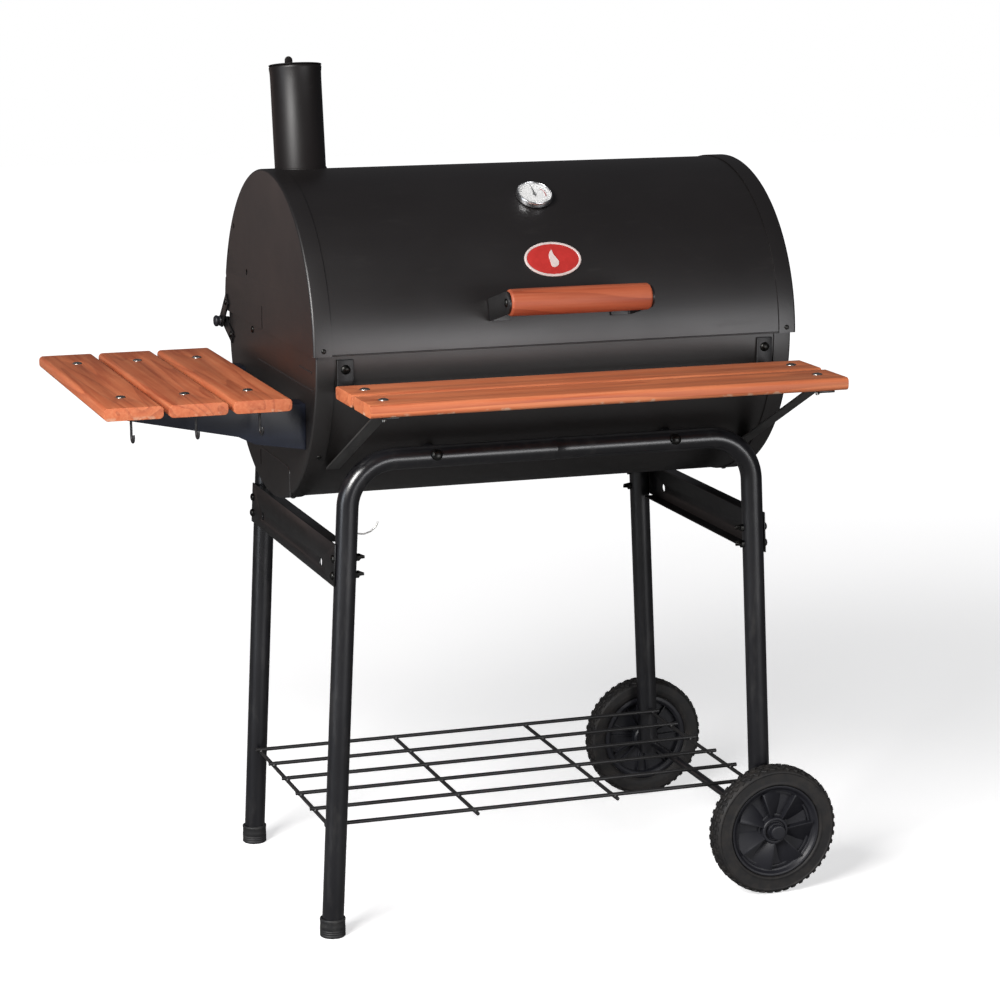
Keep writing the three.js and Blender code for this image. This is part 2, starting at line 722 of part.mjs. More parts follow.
const armTop = frontShelfTop - boardThickness - fit;
const armBack = drumSheetDepth + fit;
const shelfFront = drumHalfDepth + frontShelfGap + frontBoardCount * frontPitch - frontBoardSpacing;
const armFront = shelfFront - armFrontInset;
const armTabTop = seamHeight - armTabDrop - flatBar;
for (const [side, label] of [[-1, 'left'], [1, 'right']]) {
  const arm = outline([
    [-armFront, armTop - flatBar],
    [-armBack, armTop - flatBar],
    [-armBack, armTabTop],
    [-armBack - flatBar, armTabTop],
    [-armBack - flatBar, armTop],
    [-armFront, armTop],
  ]);
  const x = side * armX;
  part(`front_shelf_arm_${label}`, extrudeX(arm, x - armWidth / 2, x + armWidth / 2), blackPaint);

  const footAngle = -strutFootAngle;
  const foot = new THREE.Vector2(
    -drumSheetDepth * Math.cos(footAngle),
    axisHeight + drumSheetHeight * Math.sin(footAngle),
  );
  const head = new THREE.Vector2(strutHeadInset - shelfFront, armTop - flatBar);
  const along = foot.clone().sub(head).normalize();
  const across = new THREE.Vector2(along.y, -along.x).multiplyScalar(flatBar);
  const start = head.clone().addScaledVector(along, 2 * flatBar);
  const end = foot.clone().addScaledVector(along, -flatBar);
  const bar = new THREE.Shape([
    start,
    end,
    end.clone().add(across),
    start.clone().add(across),
  ]);
  part(`front_shelf_strut_${label}`, extrudeX(bar, x - strutWidth / 2, x + strutWidth / 2), blackPaint);
}

// ---------------------------------------------------------------- cart frames

// One half of a frame: up the splayed leg, round the bend and along to the middle.
class LegPath extends THREE.Curve {
  constructor(side, lowEnd) {
    super();
    this.side = side;
    const inward = -side;
    const corner = new THREE.Vector3(side * (footSpan - crossHeight * legSlope), 0, crossHeight);
    const tangent = bendRadius * Math.tan((Math.PI / 2 - legSplay) / 2);
    const up = new THREE.Vector3(inward * Math.sin(legSplay), 0, Math.cos(legSplay));
    this.start = new THREE.Vector3(side * (footSpan - lowEnd * legSlope), 0, lowEnd);
    this.bendStart = corner.clone().addScaledVector(up, -tangent);
    this.bendEnd = corner.clone().add(new THREE.Vector3(inward * tangent, 0, 0));
    this.end = new THREE.Vector3(side * fit / 2, 0, crossHeight);
    this.centre = this.bendEnd.clone().add(new THREE.Vector3(0, 0, -bendRadius));
  }

  getPoint(t) {
    const place = t * (bendSteps + 2);
    if (place <= 1) return this.start.clone().lerp(this.bendStart, place);
    if (place >= bendSteps + 1) return this.bendEnd.clone().lerp(this.end, place - bendSteps - 1);
    const turned = (place - 1) / bendSteps;
    const angle = Math.PI / 2 - this.side * (Math.PI / 2 - legSplay) * (1 - turned);
    const arm = new THREE.Vector3(bendRadius * Math.cos(angle), 0, bendRadius * Math.sin(angle));
    return this.centre.clone().add(arm);
  }

  getPointAt(u) {
    return this.getPoint(u);
  }

  getTangentAt(u, target) {
    return this.getTangent(u, target);
  }
}

const drumOutside = extrudeX(
  wholeOval(drumSheetDepth + fit, drumSheetHeight + fit, drumFrom, drumTo),
  -drumHalfLength,
  drumHalfLength,
);
const rackEndX = footSpan - rackHeight * legSlope;
const legTop = crossHeight + bossLift;
const rightLegEnd = wheelRadius - axleRadius - legBelowAxle;

function frameHalf(side, row) {
  const lowEnd = side < 0 ? footCapSole + fit : rightLegEnd;
  let tube = new THREE.ExtrudeGeometry(roundShape(tubeRadius, tubeSides, tubeRadius - tubeWall), {
    steps: bendSteps + 2,
    bevelEnabled: false,
    extrudePath: new LegPath(side, lowEnd),
  });
  tube.translate(0, row * frameY, 0);
  const boss = rod(
    [side * bossX, row * (frameY - tubeRadius + tubeWall / 2), legTop],
    [side * bossX, row * (frameY - bossReach), legTop],
    bossRadius,
    16,
  );
  const pieces = [cut(boss, drumOutside)];
  if (side > 0) {
    const neck = tubeRadius - tubeWall - fit;
    const shoulder = tubeRadius - tubeWall / 2;
    const swage = turnedZ([
      [neck - tubeWall, -swageLength],
      [neck, -swageLength],
      [neck, fit / 2],
      [shoulder, fit / 2],
      [shoulder, swageShoulder],
      [neck - tubeWall, swageShoulder],
      [neck - tubeWall, -swageLength],
    ], tubeSides);
    pieces.push(swage.rotateY(Math.PI / 2).translate(0, row * frameY, crossHeight));
  }
  tube = join(tube, ...pieces);
  const wireHole = rod(
    [side * rackEndX, row * (frameY - 2 * tubeRadius), rackHeight],
    [side * rackEndX, row * frameY, rackHeight],
    rackWire + fit,
  );
  const holes = [wireHole];
  if (side > 0) {
    const reach = 2 * tubeRadius;
    const y0 = row * frameY - reach;
    holes.push(rod([axleX, y0, wheelRadius], [axleX, y0 + 2 * reach, wheelRadius], axleRadius + fit));
  }
  return cut(tube, ...holes);
}

for (const [side, sideLabel] of [[-1, 'left'], [1, 'right']]) {
  for (const [row, rowLabel] of [[-1, 'front'], [1, 'back']]) {
    part(`leg_${rowLabel}_${sideLabel}`, frameHalf(side, row), tubePaint);
  }
}

for (const [row, label] of [[-1, 'front'], [1, 'back']]) {
  const y = row * frameY;
  const x = -(footSpan - (footCapHeight / 2) * legSlope);
  const cup = rod([x, y, 0], [x, y, footCapHeight], tubeRadius + fit + footCapWall, 24);
  const bore = rod(
    [-(footSpan - footCapSole * legSlope), y, footCapSole],
    [-(footSpan - 2 * footCapHeight * legSlope), y, 2 * footCapHeight],
    tubeRadius + fit,
    24,
  );
  part(`foot_cap_${label}`, cut(cup, bore), rubber);
}

// Braces lie flat against the outside of the legs and lean with them. Their
// flanges turn inwards and stop short of the legs.
for (const [side, label] of [[-1, 'left'], [1, 'right']]) {
  const lean = new THREE.Group();
  lean.position.set(side * (footSpan - braceHeight * legSlope), 0, braceHeight);
  lean.rotation.y = side * -legSplay;
  smoker.add(lean);
  const inner = side * (tubeRadius + fit);
  const outer = inner + side * plate;
  const flangeEdge = outer - side * braceFlange;
  const half = braceDepth / 2;
  const reach = frameY + braceOverhang;
  const flangeReach = frameY - tubeRadius - braceNotch;
  const web = extrudeY(outline([[inner, -half], [outer, -half], [outer, half], [inner, half]]), -reach, reach);
  const flanges = [-half, half - plate].map((low) => {
    const section = [[flangeEdge, low], [outer, low], [outer, low + plate], [flangeEdge, low + plate]];
    return extrudeY(outline(section), -flangeReach, flangeReach);
  });
  part(`side_brace_${label}`, join(web, ...flanges), tubePaint, lean);
}

// ---------------------------------------------------------------- wheels

const hubInner = wheelMiddle - tyreWidth / 2 - 1;
const hubOuter = wheelMiddle + tyreWidth / 2;
const axleEnd = hubOuter + runningGap;
part('axle', turnedZ([
  [0, -axleEnd - hubCapLength],
  [hubCapRadius, -axleEnd - hubCapLength],
  [hubCapRadius, -axleEnd],
  [axleRadius, -axleEnd],
  [axleRadius, axleEnd],
  [hubCapRadius, axleEnd],
  [hubCapRadius, axleEnd + hubCapLength],
  [0, axleEnd + hubCapLength],
], 16).rotateX(-Math.PI / 2).translate(axleX, 0, wheelRadius), zinc);

const seat = wheelRadius - tyreSection;
const windowInner = hubRadius + hubLand;
const windowOuter = seat - rimLand;

function bladeWindow(i) {
  const start = (2 * Math.PI * i) / bladeCount;
  const sweep = (2 * Math.PI * windowShare) / bladeCount;
  const steps = 3;
  const ring = (r, from, to) => Array.from({ length: steps + 1 }, (_, k) => {
    const angle = from + ((to - from) * k) / steps;
    return new THREE.Vector2(r * Math.cos(angle), r * Math.sin(angle));
  });
  const inner = ring(windowInner, start, start + sweep);
  return new THREE.Path([...inner, ...ring(windowOuter, start + sweep, start)]);
}

for (const [row, label] of [[-1, 'front'], [1, 'back']]) {
  const middle = row * wheelMiddle;
  const half = tyreWidth / 2;
  const [wallStart, wallEnd] = tyreSidewall.map((reach) => seat + reach);
  const tyre = turnedZ([
    [seat + fit, tyreBead - half],
    [wallStart, -half],
    [wallEnd, -half],
    [wheelRadius - treadCrown, -treadHalf],
    [wheelRadius, 0],
    [wheelRadius - treadCrown, treadHalf],
    [wallEnd, half],
    [wallStart, half],
    [seat + fit, half - tyreBead],
    [seat + fit, tyreBead - half],
  ], wheelSteps);
  tyre.rotateX(-Math.PI / 2).translate(axleX, middle, wheelRadius);
  part(`tyre_${label}`, tyre, rubber);

  const disc = roundShape(seat, wheelSteps, axleRadius + runningGap);
  for (let i = 0; i < bladeCount; i += 1) disc.holes.push(bladeWindow(i));
  const blades = extrudeZ(disc, -rimPlate / 2, rimPlate / 2);
  const web = extrudeZ(roundShape(seat, wheelSteps, axleRadius + runningGap), -rimWeb / 2, rimWeb / 2);
  const bossNear = hubInner - wheelMiddle;
  const bossFar = hubOuter - wheelMiddle;
  const bossProfile = [
    [axleRadius + runningGap, bossNear],
    [hubRadius, bossNear],
    [hubRadius, bossFar],
    [axleRadius + runningGap, bossFar],
    [axleRadius + runningGap, bossNear],
  ];
  const wheel = join(blades, web, turnedZ(bossProfile, wheelSteps));
  wheel.rotateX(row * -Math.PI / 2).translate(axleX, middle, wheelRadius);
  part(`wheel_${label}`, wheel, wheelPlastic);
}

// ---------------------------------------------------------------- bottom rack

const rackWires = [];
const longHeight = rackHeight + 2 * rackWire - rackWeld;
const longEnd = rackEndX + rackOverhang;
for (let i = 0; i < rackLongWires; i += 1) {
  const y = (i - (rackLongWires - 1) / 2) * rackLongSpacing;
  rackWires.push(rod([-longEnd, y, longHeight], [longEnd, y, longHeight], rackWire, 8));
}
const crossEnd = ((rackLongWires - 1) / 2) * rackLongSpacing + rackOverhang;
const socketEnd = frameY - tubeRadius / 2;
for (const side of [-1, 1]) {
  for (const [reach, end] of [[rackEndX, socketEnd], [rackCrossX, crossEnd]]) {
    rackWires.push(rod([side * reach, -end, rackHeight], [side * reach, end, rackHeight], rackWire, 8));
  }
}
part('bottom_rack', join(...rackWires), zinc);

// ---------------------------------------------------------------- grates

const grateBottom = ledgeHeight + fit;
const grateTop = grateBottom + grateThickness;
const ledgeAngle = Math.asin(-(ledgeDrop + ledgeHang) / (drumSheetHeight - sheet));
const ledgeOuter = (drumSheetDepth - sheet) * Math.cos(ledgeAngle) - ledgeWallGap;
const ledgeInner = ledgeOuter - ledgeWidth;
const grateHalfLength = ledgeOuter - grateSideGap;
const grateRun = 2 * (endWall - grateEndGap);
const grateWidth = (grateRun - (grateCount - 1) * grateSpacing) / grateCount;
const gratePitch = grateWidth + grateSpacing;
const slotPitch = (grateWidth - 2 * grateFrame + grateSlotWidth / 2) / grateSlots;
for (let i = 0; i < grateCount; i += 1) {
  const x0 = (i - grateCount / 2) * gratePitch + grateSpacing / 2;
  const slots = [];
  const inner = grateFrame / 2;
  const outer = grateHalfLength - 2 * grateFrame;
  for (let k = 0; k < grateSlots; k += 1) {
    const s0 = x0 + grateFrame + k * slotPitch;
    for (const [y0, y1] of [[inner, outer], [-outer, -inner]]) {
      slots.push(block(s0, s0 + grateSlotWidth, y0, y1, grateBottom - 1, grateTop + 1));
    }
  }
  const casting = block(x0, x0 + grateWidth, -grateHalfLength, grateHalfLength, grateBottom, grateTop);
  part(`cooking_grate_${i + 1}`, cut(casting, ...slots), castIron);
}

for (const [row, label] of [[-1, 'front'], [1, 'back']]) {
  const ledge = outline([
    [row * ledgeInner, ledgeHeight - sheet],
    [row * (ledgeOuter - sheet), ledgeHeight - sheet],
    [row * (ledgeOuter - sheet), ledgeHeight - ledgeHang],
    [row * ledgeOuter, ledgeHeight - ledgeHang],
    [row * ledgeOuter, ledgeHeight],
    [row * ledgeInner, ledgeHeight],
  ]);
  const end = endWall - ledgeEndGap;
  part(`grate_ledge_${label}`, extrudeX(ledge, -end, end), blackPaint);
}

const fireTop = fireHeight + fireThickness;
const firePitch = (2 * (fireHalfLength - fireFrame) + fireBar) / fireSlots;
const fireOpening = fireHalfDepth - fireFrame;
const airSlots = Array.from({ length: fireSlots }, (_, i) => {
  const x0 = -fireHalfLength + fireFrame + i * firePitch;
  return block(x0, x0 + firePitch - fireBar, -fireOpening, fireOpening, fireHeight - 1, fireTop + 1);
});
const fireCasting = block(
  -fireHalfLength,
  fireHalfLength,
  -fireHalfDepth,
  fireHalfDepth,
  fireHeight,
  fireTop,
);
const ladderFace = endWall - fit - ladderDepth;
const hangerOuter = ladderFace - hangerGap;
const hangers = [-1, 1].map((side) => {
  const riser = block(
    side * (hangerOuter - plate),
    side * hangerOuter,
    -hangerWidth / 2,
    hangerWidth / 2,
    fireHeight,
    fireHeight + hangerHeight,
  );
  const tongue = block(
    side * (fireHalfLength - fireFrame / 2),
    side * hangerOuter,
    -hangerWidth / 2,
    hangerWidth / 2,
    fireHeight,
    fireHeight + plate,
  );
  return join(riser, tongue);
});
part('fire_grate', join(cut(fireCasting, ...airSlots), ...hangers), castIron);

for (const [side, label] of [[-1, 'left'], [1, 'right']]) {
  const half = ladderWidth / 2;
  const back = side * (endWall - fit);
  const front = side * ladderFace;
  const thick = side * sheet;
  const section = outline([
    [back, -half - ladderDepth],
    [back, -half],
    [front + thick, -half],
    [front + thick, half],
    [back, half],
    [back, half + ladderDepth],
    [back - thick, half + ladderDepth],
    [back - thick, half + sheet],
    [front, half + sheet],
    [front, -half - sheet],
    [back - thick, -half - sheet],
    [back - thick, -half - ladderDepth],
  ]);
  part(`grate_ladder_${label}`, extrudeZ(section, fireHeight, fireHeight + ladderHeight), blackPaint);
}

// ---------------------------------------------------------------- air vent

const ventInner = drumHalfLength + fit;
const shutter = roundShape(ventRadius, 24);
for (let i = 0; i < ventHoles; i += 1) {
  const angle = (2 * Math.PI * i) / ventHoles;
  const centre = new THREE.Vector2(ventHoleCircle * Math.cos(angle), ventHoleCircle * Math.sin(angle));
  const hole = roundShape(ventHoleRadius, 16).getPoints().map((p) => p.add(centre));
  shutter.holes.push(new THREE.Path(hole.reverse()));
}
const shutterDisc = extrudeX(shutter, ventInner, ventInner + sheet);
const shutterTab = block(
  ventInner,
  ventInner + ventTabHeight,
  ventRadius - 2 * sheet,
  ventRadius - sheet,
  -ventTabWidth / 2,
  ventTabWidth / 2,
);
const shutterPin = rod([drumHalfLength - 3 * sheet, 0, 0], [ventInner + 2 * sheet, 0, 0], rivet);
const vent = new THREE.Group();
vent.position.set(0, -ventForward, ventHeight);
smoker.add(vent);
part('vent_shutter', join(shutterDisc, shutterTab, shutterPin), blackPaint, vent);

// ---------------------------------------------------------------- stand the whole on its origin

const extent = new THREE.Box3().setFromObject(smoker, true);
const middle = extent.getCenter(new THREE.Vector3());
smoker.position.set(-middle.x, -middle.y, -extent.min.z);
smoker.updateMatrixWorld(true);

export default smoker;
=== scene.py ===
import math

import bmesh
import bpy
from mathutils import Matrix, Vector


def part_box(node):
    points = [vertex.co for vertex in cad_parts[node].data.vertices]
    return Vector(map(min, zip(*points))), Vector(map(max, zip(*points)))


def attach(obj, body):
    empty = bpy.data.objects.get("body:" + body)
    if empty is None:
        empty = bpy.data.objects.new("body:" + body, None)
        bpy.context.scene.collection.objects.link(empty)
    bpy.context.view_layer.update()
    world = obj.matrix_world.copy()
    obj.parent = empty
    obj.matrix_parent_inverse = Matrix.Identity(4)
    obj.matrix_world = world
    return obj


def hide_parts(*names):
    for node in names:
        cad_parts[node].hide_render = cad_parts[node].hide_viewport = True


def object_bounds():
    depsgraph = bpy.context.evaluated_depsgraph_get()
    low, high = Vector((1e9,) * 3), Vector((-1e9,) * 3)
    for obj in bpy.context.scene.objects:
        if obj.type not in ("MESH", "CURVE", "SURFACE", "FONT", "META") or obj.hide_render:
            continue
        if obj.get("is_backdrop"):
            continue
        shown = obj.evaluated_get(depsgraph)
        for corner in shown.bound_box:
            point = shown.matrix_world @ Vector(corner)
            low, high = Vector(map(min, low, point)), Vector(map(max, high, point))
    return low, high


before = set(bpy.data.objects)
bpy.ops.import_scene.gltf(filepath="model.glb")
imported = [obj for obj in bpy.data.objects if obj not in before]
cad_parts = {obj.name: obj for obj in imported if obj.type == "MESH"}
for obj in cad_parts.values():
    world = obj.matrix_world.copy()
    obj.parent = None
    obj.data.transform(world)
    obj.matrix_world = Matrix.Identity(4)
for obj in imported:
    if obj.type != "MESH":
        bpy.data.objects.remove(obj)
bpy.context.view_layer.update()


# ---------------------------------------------------------------- studio
# A pale sweep of floor under broad soft lamps, with the camera standing to the
# front and left of the barrel, a little higher than the chimney.

barrel_low, barrel_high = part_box("drum_shell")
barrel = (barrel_low + barrel_high) / 2
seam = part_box("lid_shell")[0].z

camera = bpy.data.objects.new("camera", bpy.data.cameras.new("camera"))
bpy.context.scene.collection.objects.link(camera)
bpy.context.scene.camera = camera
turn_left, look_down = math.radians(19.137), math.radians(11.867)
sight = Vector((
    math.sin(turn_left) * math.cos(look_down),
    math.cos(turn_left) * math.cos(look_down),
    -math.sin(look_down),
))
camera.location = (-1.3372, -4.0670, 1.5106)
camera.rotation_mode = "QUATERNION"
camera.rotation_quaternion = sight.to_track_quat("-Z", "Y")
camera.data.sensor_width = 36
camera.data.lens = 105.1


def soft_lamp(name, place, aim, size, watts, tint):
    lamp = bpy.data.objects.new(name, bpy.data.lights.new(name, "AREA"))
    lamp.data.shape = "RECTANGLE"
    lamp.data.size, lamp.data.size_y = size
    lamp.data.energy = watts
    lamp.data.color = tint
    lamp.location = place
    lamp.rotation_euler = (Vector(aim) - Vector(place)).to_track_quat("-Z", "Y").to_euler()
    bpy.context.scene.collection.objects.link(lamp)


soft_lamp("lamp_front", (1.55, -3.9, 0.75), (0.0, 0.0, 0.80), (2.6, 1.2), 52, (0.98, 0.98, 1.0))
soft_lamp("lamp_high_left", (-3.0, -2.6, 2.9), (0.0, -0.1, 0.75), (1.8, 1.8), 250, (1.0, 0.985, 0.97))
soft_lamp("lamp_left", (-3.4, -0.9, 0.9), (-0.3, 0.0, 0.80), (1.2, 1.6), 22, (0.86, 0.92, 1.0))
soft_lamp("lamp_back_left", (-1.9, 3.6, 0.9), (-0.3, 0.1, 0.8), (1.6, 1.4), 2.4, (1.0, 0.74, 0.66))

world = bpy.data.worlds.new("studio")
bpy.context.scene.world = world
world.use_nodes = True
backdrop = world.node_tree.nodes["Background"]
seen = world.node_tree.nodes.new("ShaderNodeLightPath")
tone = world.node_tree.nodes.new("ShaderNodeMix")
tone.data_type = "RGBA"
tone.inputs[6].default_value = (0.07, 0.07, 0.075, 1)
tone.inputs[7].default_value = (1.0, 1.0, 1.0, 1)
world.node_tree.links.new(seen.outputs["Is Camera Ray"], tone.inputs[0])
world.node_tree.links.new(tone.outputs[2], backdrop.inputs["Color"])
bpy.context.scene.view_settings.view_transform = "Standard"


class Signal:
    """A socket's value in a finish. Python's operators on it add Math nodes."""

    def __init__(self, finish, socket):
        self.finish = finish
        self.socket = socket

    def maths(self, operation, first, second):
        return self.finish.node("ShaderNodeMath", {"operation": operation}, {0: first, 1: second})

    def __add__(self, other):
        return self.maths("ADD", self, other)

    def __mul__(self, other):
        return self.maths("MULTIPLY", self, other)


class Finish:
    """A material on the Principled shader. node() adds any node, with its settings made first."""

    def __init__(self, name, **constants):
        self.material = bpy.data.materials.new(name)
        self.material.use_nodes = True
        self.tree = self.material.node_tree
        self.shader = self.tree.nodes["Principled BSDF"]
        for socket, value in constants.items():
            self.shader.inputs[socket.replace("_", " ")].default_value = value

    def node(self, kind, settings, sockets, output=0):
        made = self.tree.nodes.new(kind)
        for setting, value in settings.items():
            if setting == "stops":
                self.set_stops(made.color_ramp, value)
            else:
                setattr(made, setting, value)
        for key, value in sockets.items():
            self.feed(made.inputs[key], value)
        return Signal(self, made.outputs[output])

    def set_stops(self, ramp, stops):
        while len(ramp.elements) < len(stops):
            ramp.elements.new(0.5)
        for element, (place, colour) in zip(ramp.elements, stops):
            element.position = place
            element.color = colour

    def feed(self, socket, value):
        if isinstance(value, Signal):
            self.tree.links.new(value.socket, socket)
        else:
            socket.default_value = value

    def surface(self, **sockets):
        for socket, value in sockets.items():
            self.feed(self.shader.inputs[socket.replace("_", " ")], value)
        return self.material

    def place(self, stretch=(1, 1, 1), shift=(0, 0, 0)):
        here = self.node("ShaderNodeTexCoord", {}, {}, "Object")
        return self.node("ShaderNodeMapping", {}, {"Vector": here, "Scale": stretch, "Location": shift})

    def noise(self, where, scale, detail=3.0, roughness=0.5, distortion=0.0):
        sockets = {
            "Vector": where, "Scale": scale, "Detail": detail, "Roughness": roughness,
            "Distortion": distortion,
        }
        return self.node("ShaderNodeTexNoise", {}, sockets)

    def between(self, value, low, high, to_low=0.0, to_high=1.0):
        sockets = {"Value": value, "From Min": low, "From Max": high, "To Min": to_low, "To Max": to_high}
        return self.node("ShaderNodeMapRange", {"clamp": True}, sockets)

    def mix(self, share, first, second):
        return self.node("ShaderNodeMix", {"data_type": "RGBA"}, {0: share, 6: first, 7: second}, 2)

    def bump(self, height, depth, strength):
        return self.node("ShaderNodeBump", {}, {"Height": height, "Distance": depth, "Strength": strength})


def floor_finish():
    """Pale paper. To the eye it glows a little, more with distance, so that no edge shows."""
    paper = Finish("pale_floor", Roughness=0.9, Specular_IOR_Level=0.0, Emission_Strength=1.0)
    seen = paper.node("ShaderNodeLightPath", {}, {}, "Is Camera Ray")
    spot = paper.node("ShaderNodeTexCoord", {}, {}, "Object")
    away = paper.node("ShaderNodeVectorMath", {"operation": "LENGTH"}, {0: spot}, "Value")
    mottle = paper.noise(paper.place(), 3.0)
    tone = paper.mix(mottle, (0.80, 0.80, 0.81, 1), (0.84, 0.84, 0.84, 1))
    glow = paper.between(away, 1.2, 4.5, 0.62, 1.0)
    lit = paper.mix(glow, (0, 0, 0, 1), (1, 1, 1, 1))
    return paper.surface(
        Base_Color=paper.mix(seen, (0.22, 0.22, 0.22, 1), tone),
        Emission_Color=paper.mix(seen, (0, 0, 0, 1), lit),
    )


floor_reach = 12.0
floor_mesh = bpy.data.meshes.new("floor")
floor_mesh.from_pydata(
    [
        (-floor_reach, -floor_reach, 0), (floor_reach, -floor_reach, 0), (floor_reach, floor_reach, 0),
        (-floor_reach, floor_reach, 0),
    ],
    [],
    [(0, 1, 2, 3)],
)
floor = bpy.data.objects.new("floor", floor_mesh)
floor.data.materials.append(floor_finish())
bpy.context.scene.collection.objects.link(floor)
floor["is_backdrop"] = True


# ---------------------------------------------------------------- cart frames
# Two bent tube frames of mild steel, powder coated gloss black. Each is two halves
# that plug together under the barrel, with short bosses that the barrel bolts to.

tube_radius = 0.016
tube_bend = 0.070
tube_splay = math.radians(2.69)
cross_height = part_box("leg_front_left")[1].z - tube_radius


def tube_finish():
    coat = Finish("tube_powder_coat", IOR=1.6, Coat_Weight=0.25, Coat_Roughness=0.18)
    here = coat.place()
    cloud = coat.noise(here, 7.0)
    peel = coat.noise(here, 620.0, 2.0)
    dust = coat.between(coat.noise(coat.place((1, 1, 0.25)), 46.0, 6.0, 0.7), 0.52, 0.78)
    colour = coat.mix(cloud, (0.004, 0.004, 0.0055, 1), (0.010, 0.010, 0.0125, 1))
    dusty = coat.mix(dust * 0.35, colour, (0.07, 0.066, 0.062, 1))
    gloss = coat.between(cloud, 0.3, 0.7, 0.26, 0.36) + dust * 0.12
    return coat.surface(Base_Color=dusty, Roughness=gloss, Normal=coat.bump(peel, 0.00012, 0.5))


def recipe(name, sockets):
    """An empty Geometry Nodes tree with a mesh going in and out, and these named inputs."""
    tree = bpy.data.node_groups.new(name, "GeometryNodeTree")
    tree.interface.new_socket("Geometry", in_out="INPUT", socket_type="NodeSocketGeometry")
    for label, kind in sockets.items():
        tree.interface.new_socket(label, in_out="INPUT", socket_type=kind)
    tree.interface.new_socket("Geometry", in_out="OUTPUT", socket_type="NodeSocketGeometry")
    return tree


def step(tree, kind, links, **settings):
    """One node of a tree. A link is another node's output, and anything else is a value."""
    made = tree.nodes.new(kind)
    for setting, value in settings.items():
        setattr(made, setting, value)
    for key, value in links.items():
        if isinstance(value, bpy.types.NodeSocket):
            tree.links.new(value, made.inputs[key])
        else:
            made.inputs[key].default_value = value
    return made


def end_recipe(tree, geometry, material):
    real = step(tree, "GeometryNodeRealizeInstances", {"Geometry": geometry})
    dressed = step(tree, "GeometryNodeSetMaterial", {"Geometry": real.outputs[0], "Material": material})
    step(tree, "NodeGroupOutput", {0: dressed.outputs[0]})
    return tree


def run_recipe():
    """A tube of the given radius along each line, with closed ends. Each point's girth scales it."""
    tree = recipe(
        "tube_run",
        {"Radius": "NodeSocketFloat", "Sides": "NodeSocketInt", "Finish": "NodeSocketMaterial"},
    )
    given = step(tree, "NodeGroupInput", {})
    line = step(tree, "GeometryNodeMeshToCurve", {"Mesh": given.outputs["Geometry"]})
    girth = step(tree, "GeometryNodeInputNamedAttribute", {"Name": "girth"}, data_type="FLOAT")
    sized = step(tree, "GeometryNodeSetCurveRadius", {"Curve": line.outputs[0], "Radius": girth.outputs[0]})
    links = {"Radius": given.outputs["Radius"], "Resolution": given.outputs["Sides"]}
    section = step(tree, "GeometryNodeCurvePrimitiveCircle", links)
    links = {"Curve": sized.outputs[0], "Profile Curve": section.outputs[0], "Fill Caps": True}
    tube = step(tree, "GeometryNodeCurveToMesh", links)
    if "Scale" in tube.inputs:
        tree.links.new(girth.outputs[0], tube.inputs["Scale"])
    return end_recipe(tree, tube.outputs[0], given.outputs["Finish"])


def cook(source, tree, name, **values):
    """The mesh that a recipe makes of source, as a new object. source is used up."""
    modifier = source.modifiers.new(tree.name, "NODES")
    modifier.node_group = tree
    for item in tree.interface.items_tree:
        if item.item_type == "SOCKET" and item.in_out == "INPUT" and item.name in values:
            modifier[item.identifier] = values[item.name]
    source.update_tag()
    bpy.context.view_layer.update()
    graph = bpy.context.evaluated_depsgraph_get()
    mesh = bpy.data.meshes.new_from_object(source.evaluated_get(graph), depsgraph=graph)
    bpy.data.objects.remove(source)
    return stand(name, mesh)


def stand(name, mesh, sharp=35):
    """An object for a finished mesh, smooth but for its edges sharper than that many degrees."""
    mesh.name = name
    mesh.shade_smooth()
    mesh.set_sharp_from_angle(angle=math.radians(sharp))
    made = bpy.data.objects.new(name, mesh)
    bpy.context.scene.collection.objects.link(made)
    return made


def lines_object(lines, girths=None):
    """An object of open lines, one for each list of points, with the girth at each point."""
    points = [p for line in lines for p in line]
    edges = []
    start = 0
    for line in lines:
        edges += [(start + i, start + i + 1) for i in range(len(line) - 1)]
        start += len(line)
    mesh = bpy.data.meshes.new("lines")
    mesh.from_pydata([tuple(p) for p in points], edges, [])
    girth = mesh.attributes.new("girth", "FLOAT", "POINT")
    girth.data.foreach_set("value", girths if girths else [1.0] * len(points))
    made = bpy.data.objects.new("lines", mesh)
    bpy.context.scene.collection.objects.link(made)
    return made


def mount_piece(piece, body, slot, *nodes):
    """Fixes a finished piece to its body and hides the CAD nodes it stands for. slot is not used."""
    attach(piece, body)
    if nodes:
        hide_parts(*nodes)
    return piece


tube_run = run_recipe()
tube_coat = tube_finish()
boss_reach = 0.185


def leg_line(node, side, y):
    """A half frame's centre line, from the foot up the splayed leg and round to the middle."""
    low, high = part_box(node)
    foot_x = (high.x if side > 0 else low.x) - side * tube_radius * math.cos(tube_splay)
    foot = Vector((foot_x, y, low.z))
    corner = Vector((foot_x - side * (cross_height - low.z) * math.tan(tube_splay), y, cross_height))
    tangent = tube_bend * math.tan((math.pi / 2 - tube_splay) / 2)
    up = Vector((-side * math.sin(tube_splay), 0, math.cos(tube_splay)))
    centre = corner - Vector((side * tangent, 0, tube_bend))
    bend = []
    bend_steps = 28
    for i in range(bend_steps + 1):
        angle = (math.pi / 2 - tube_splay) * (1 - i / bend_steps)
        bend.append(centre + tube_bend * Vector((side * math.sin(angle), 0, math.cos(angle))))
    leg = [foot.lerp(corner - up * tangent, i / 12) for i in range(12)]
    middle = Vector((barrel.x, y, cross_height))
    level = [bend[-1].lerp(middle, i / 10) for i in range(1, 10)]
    return leg + bend + level, middle


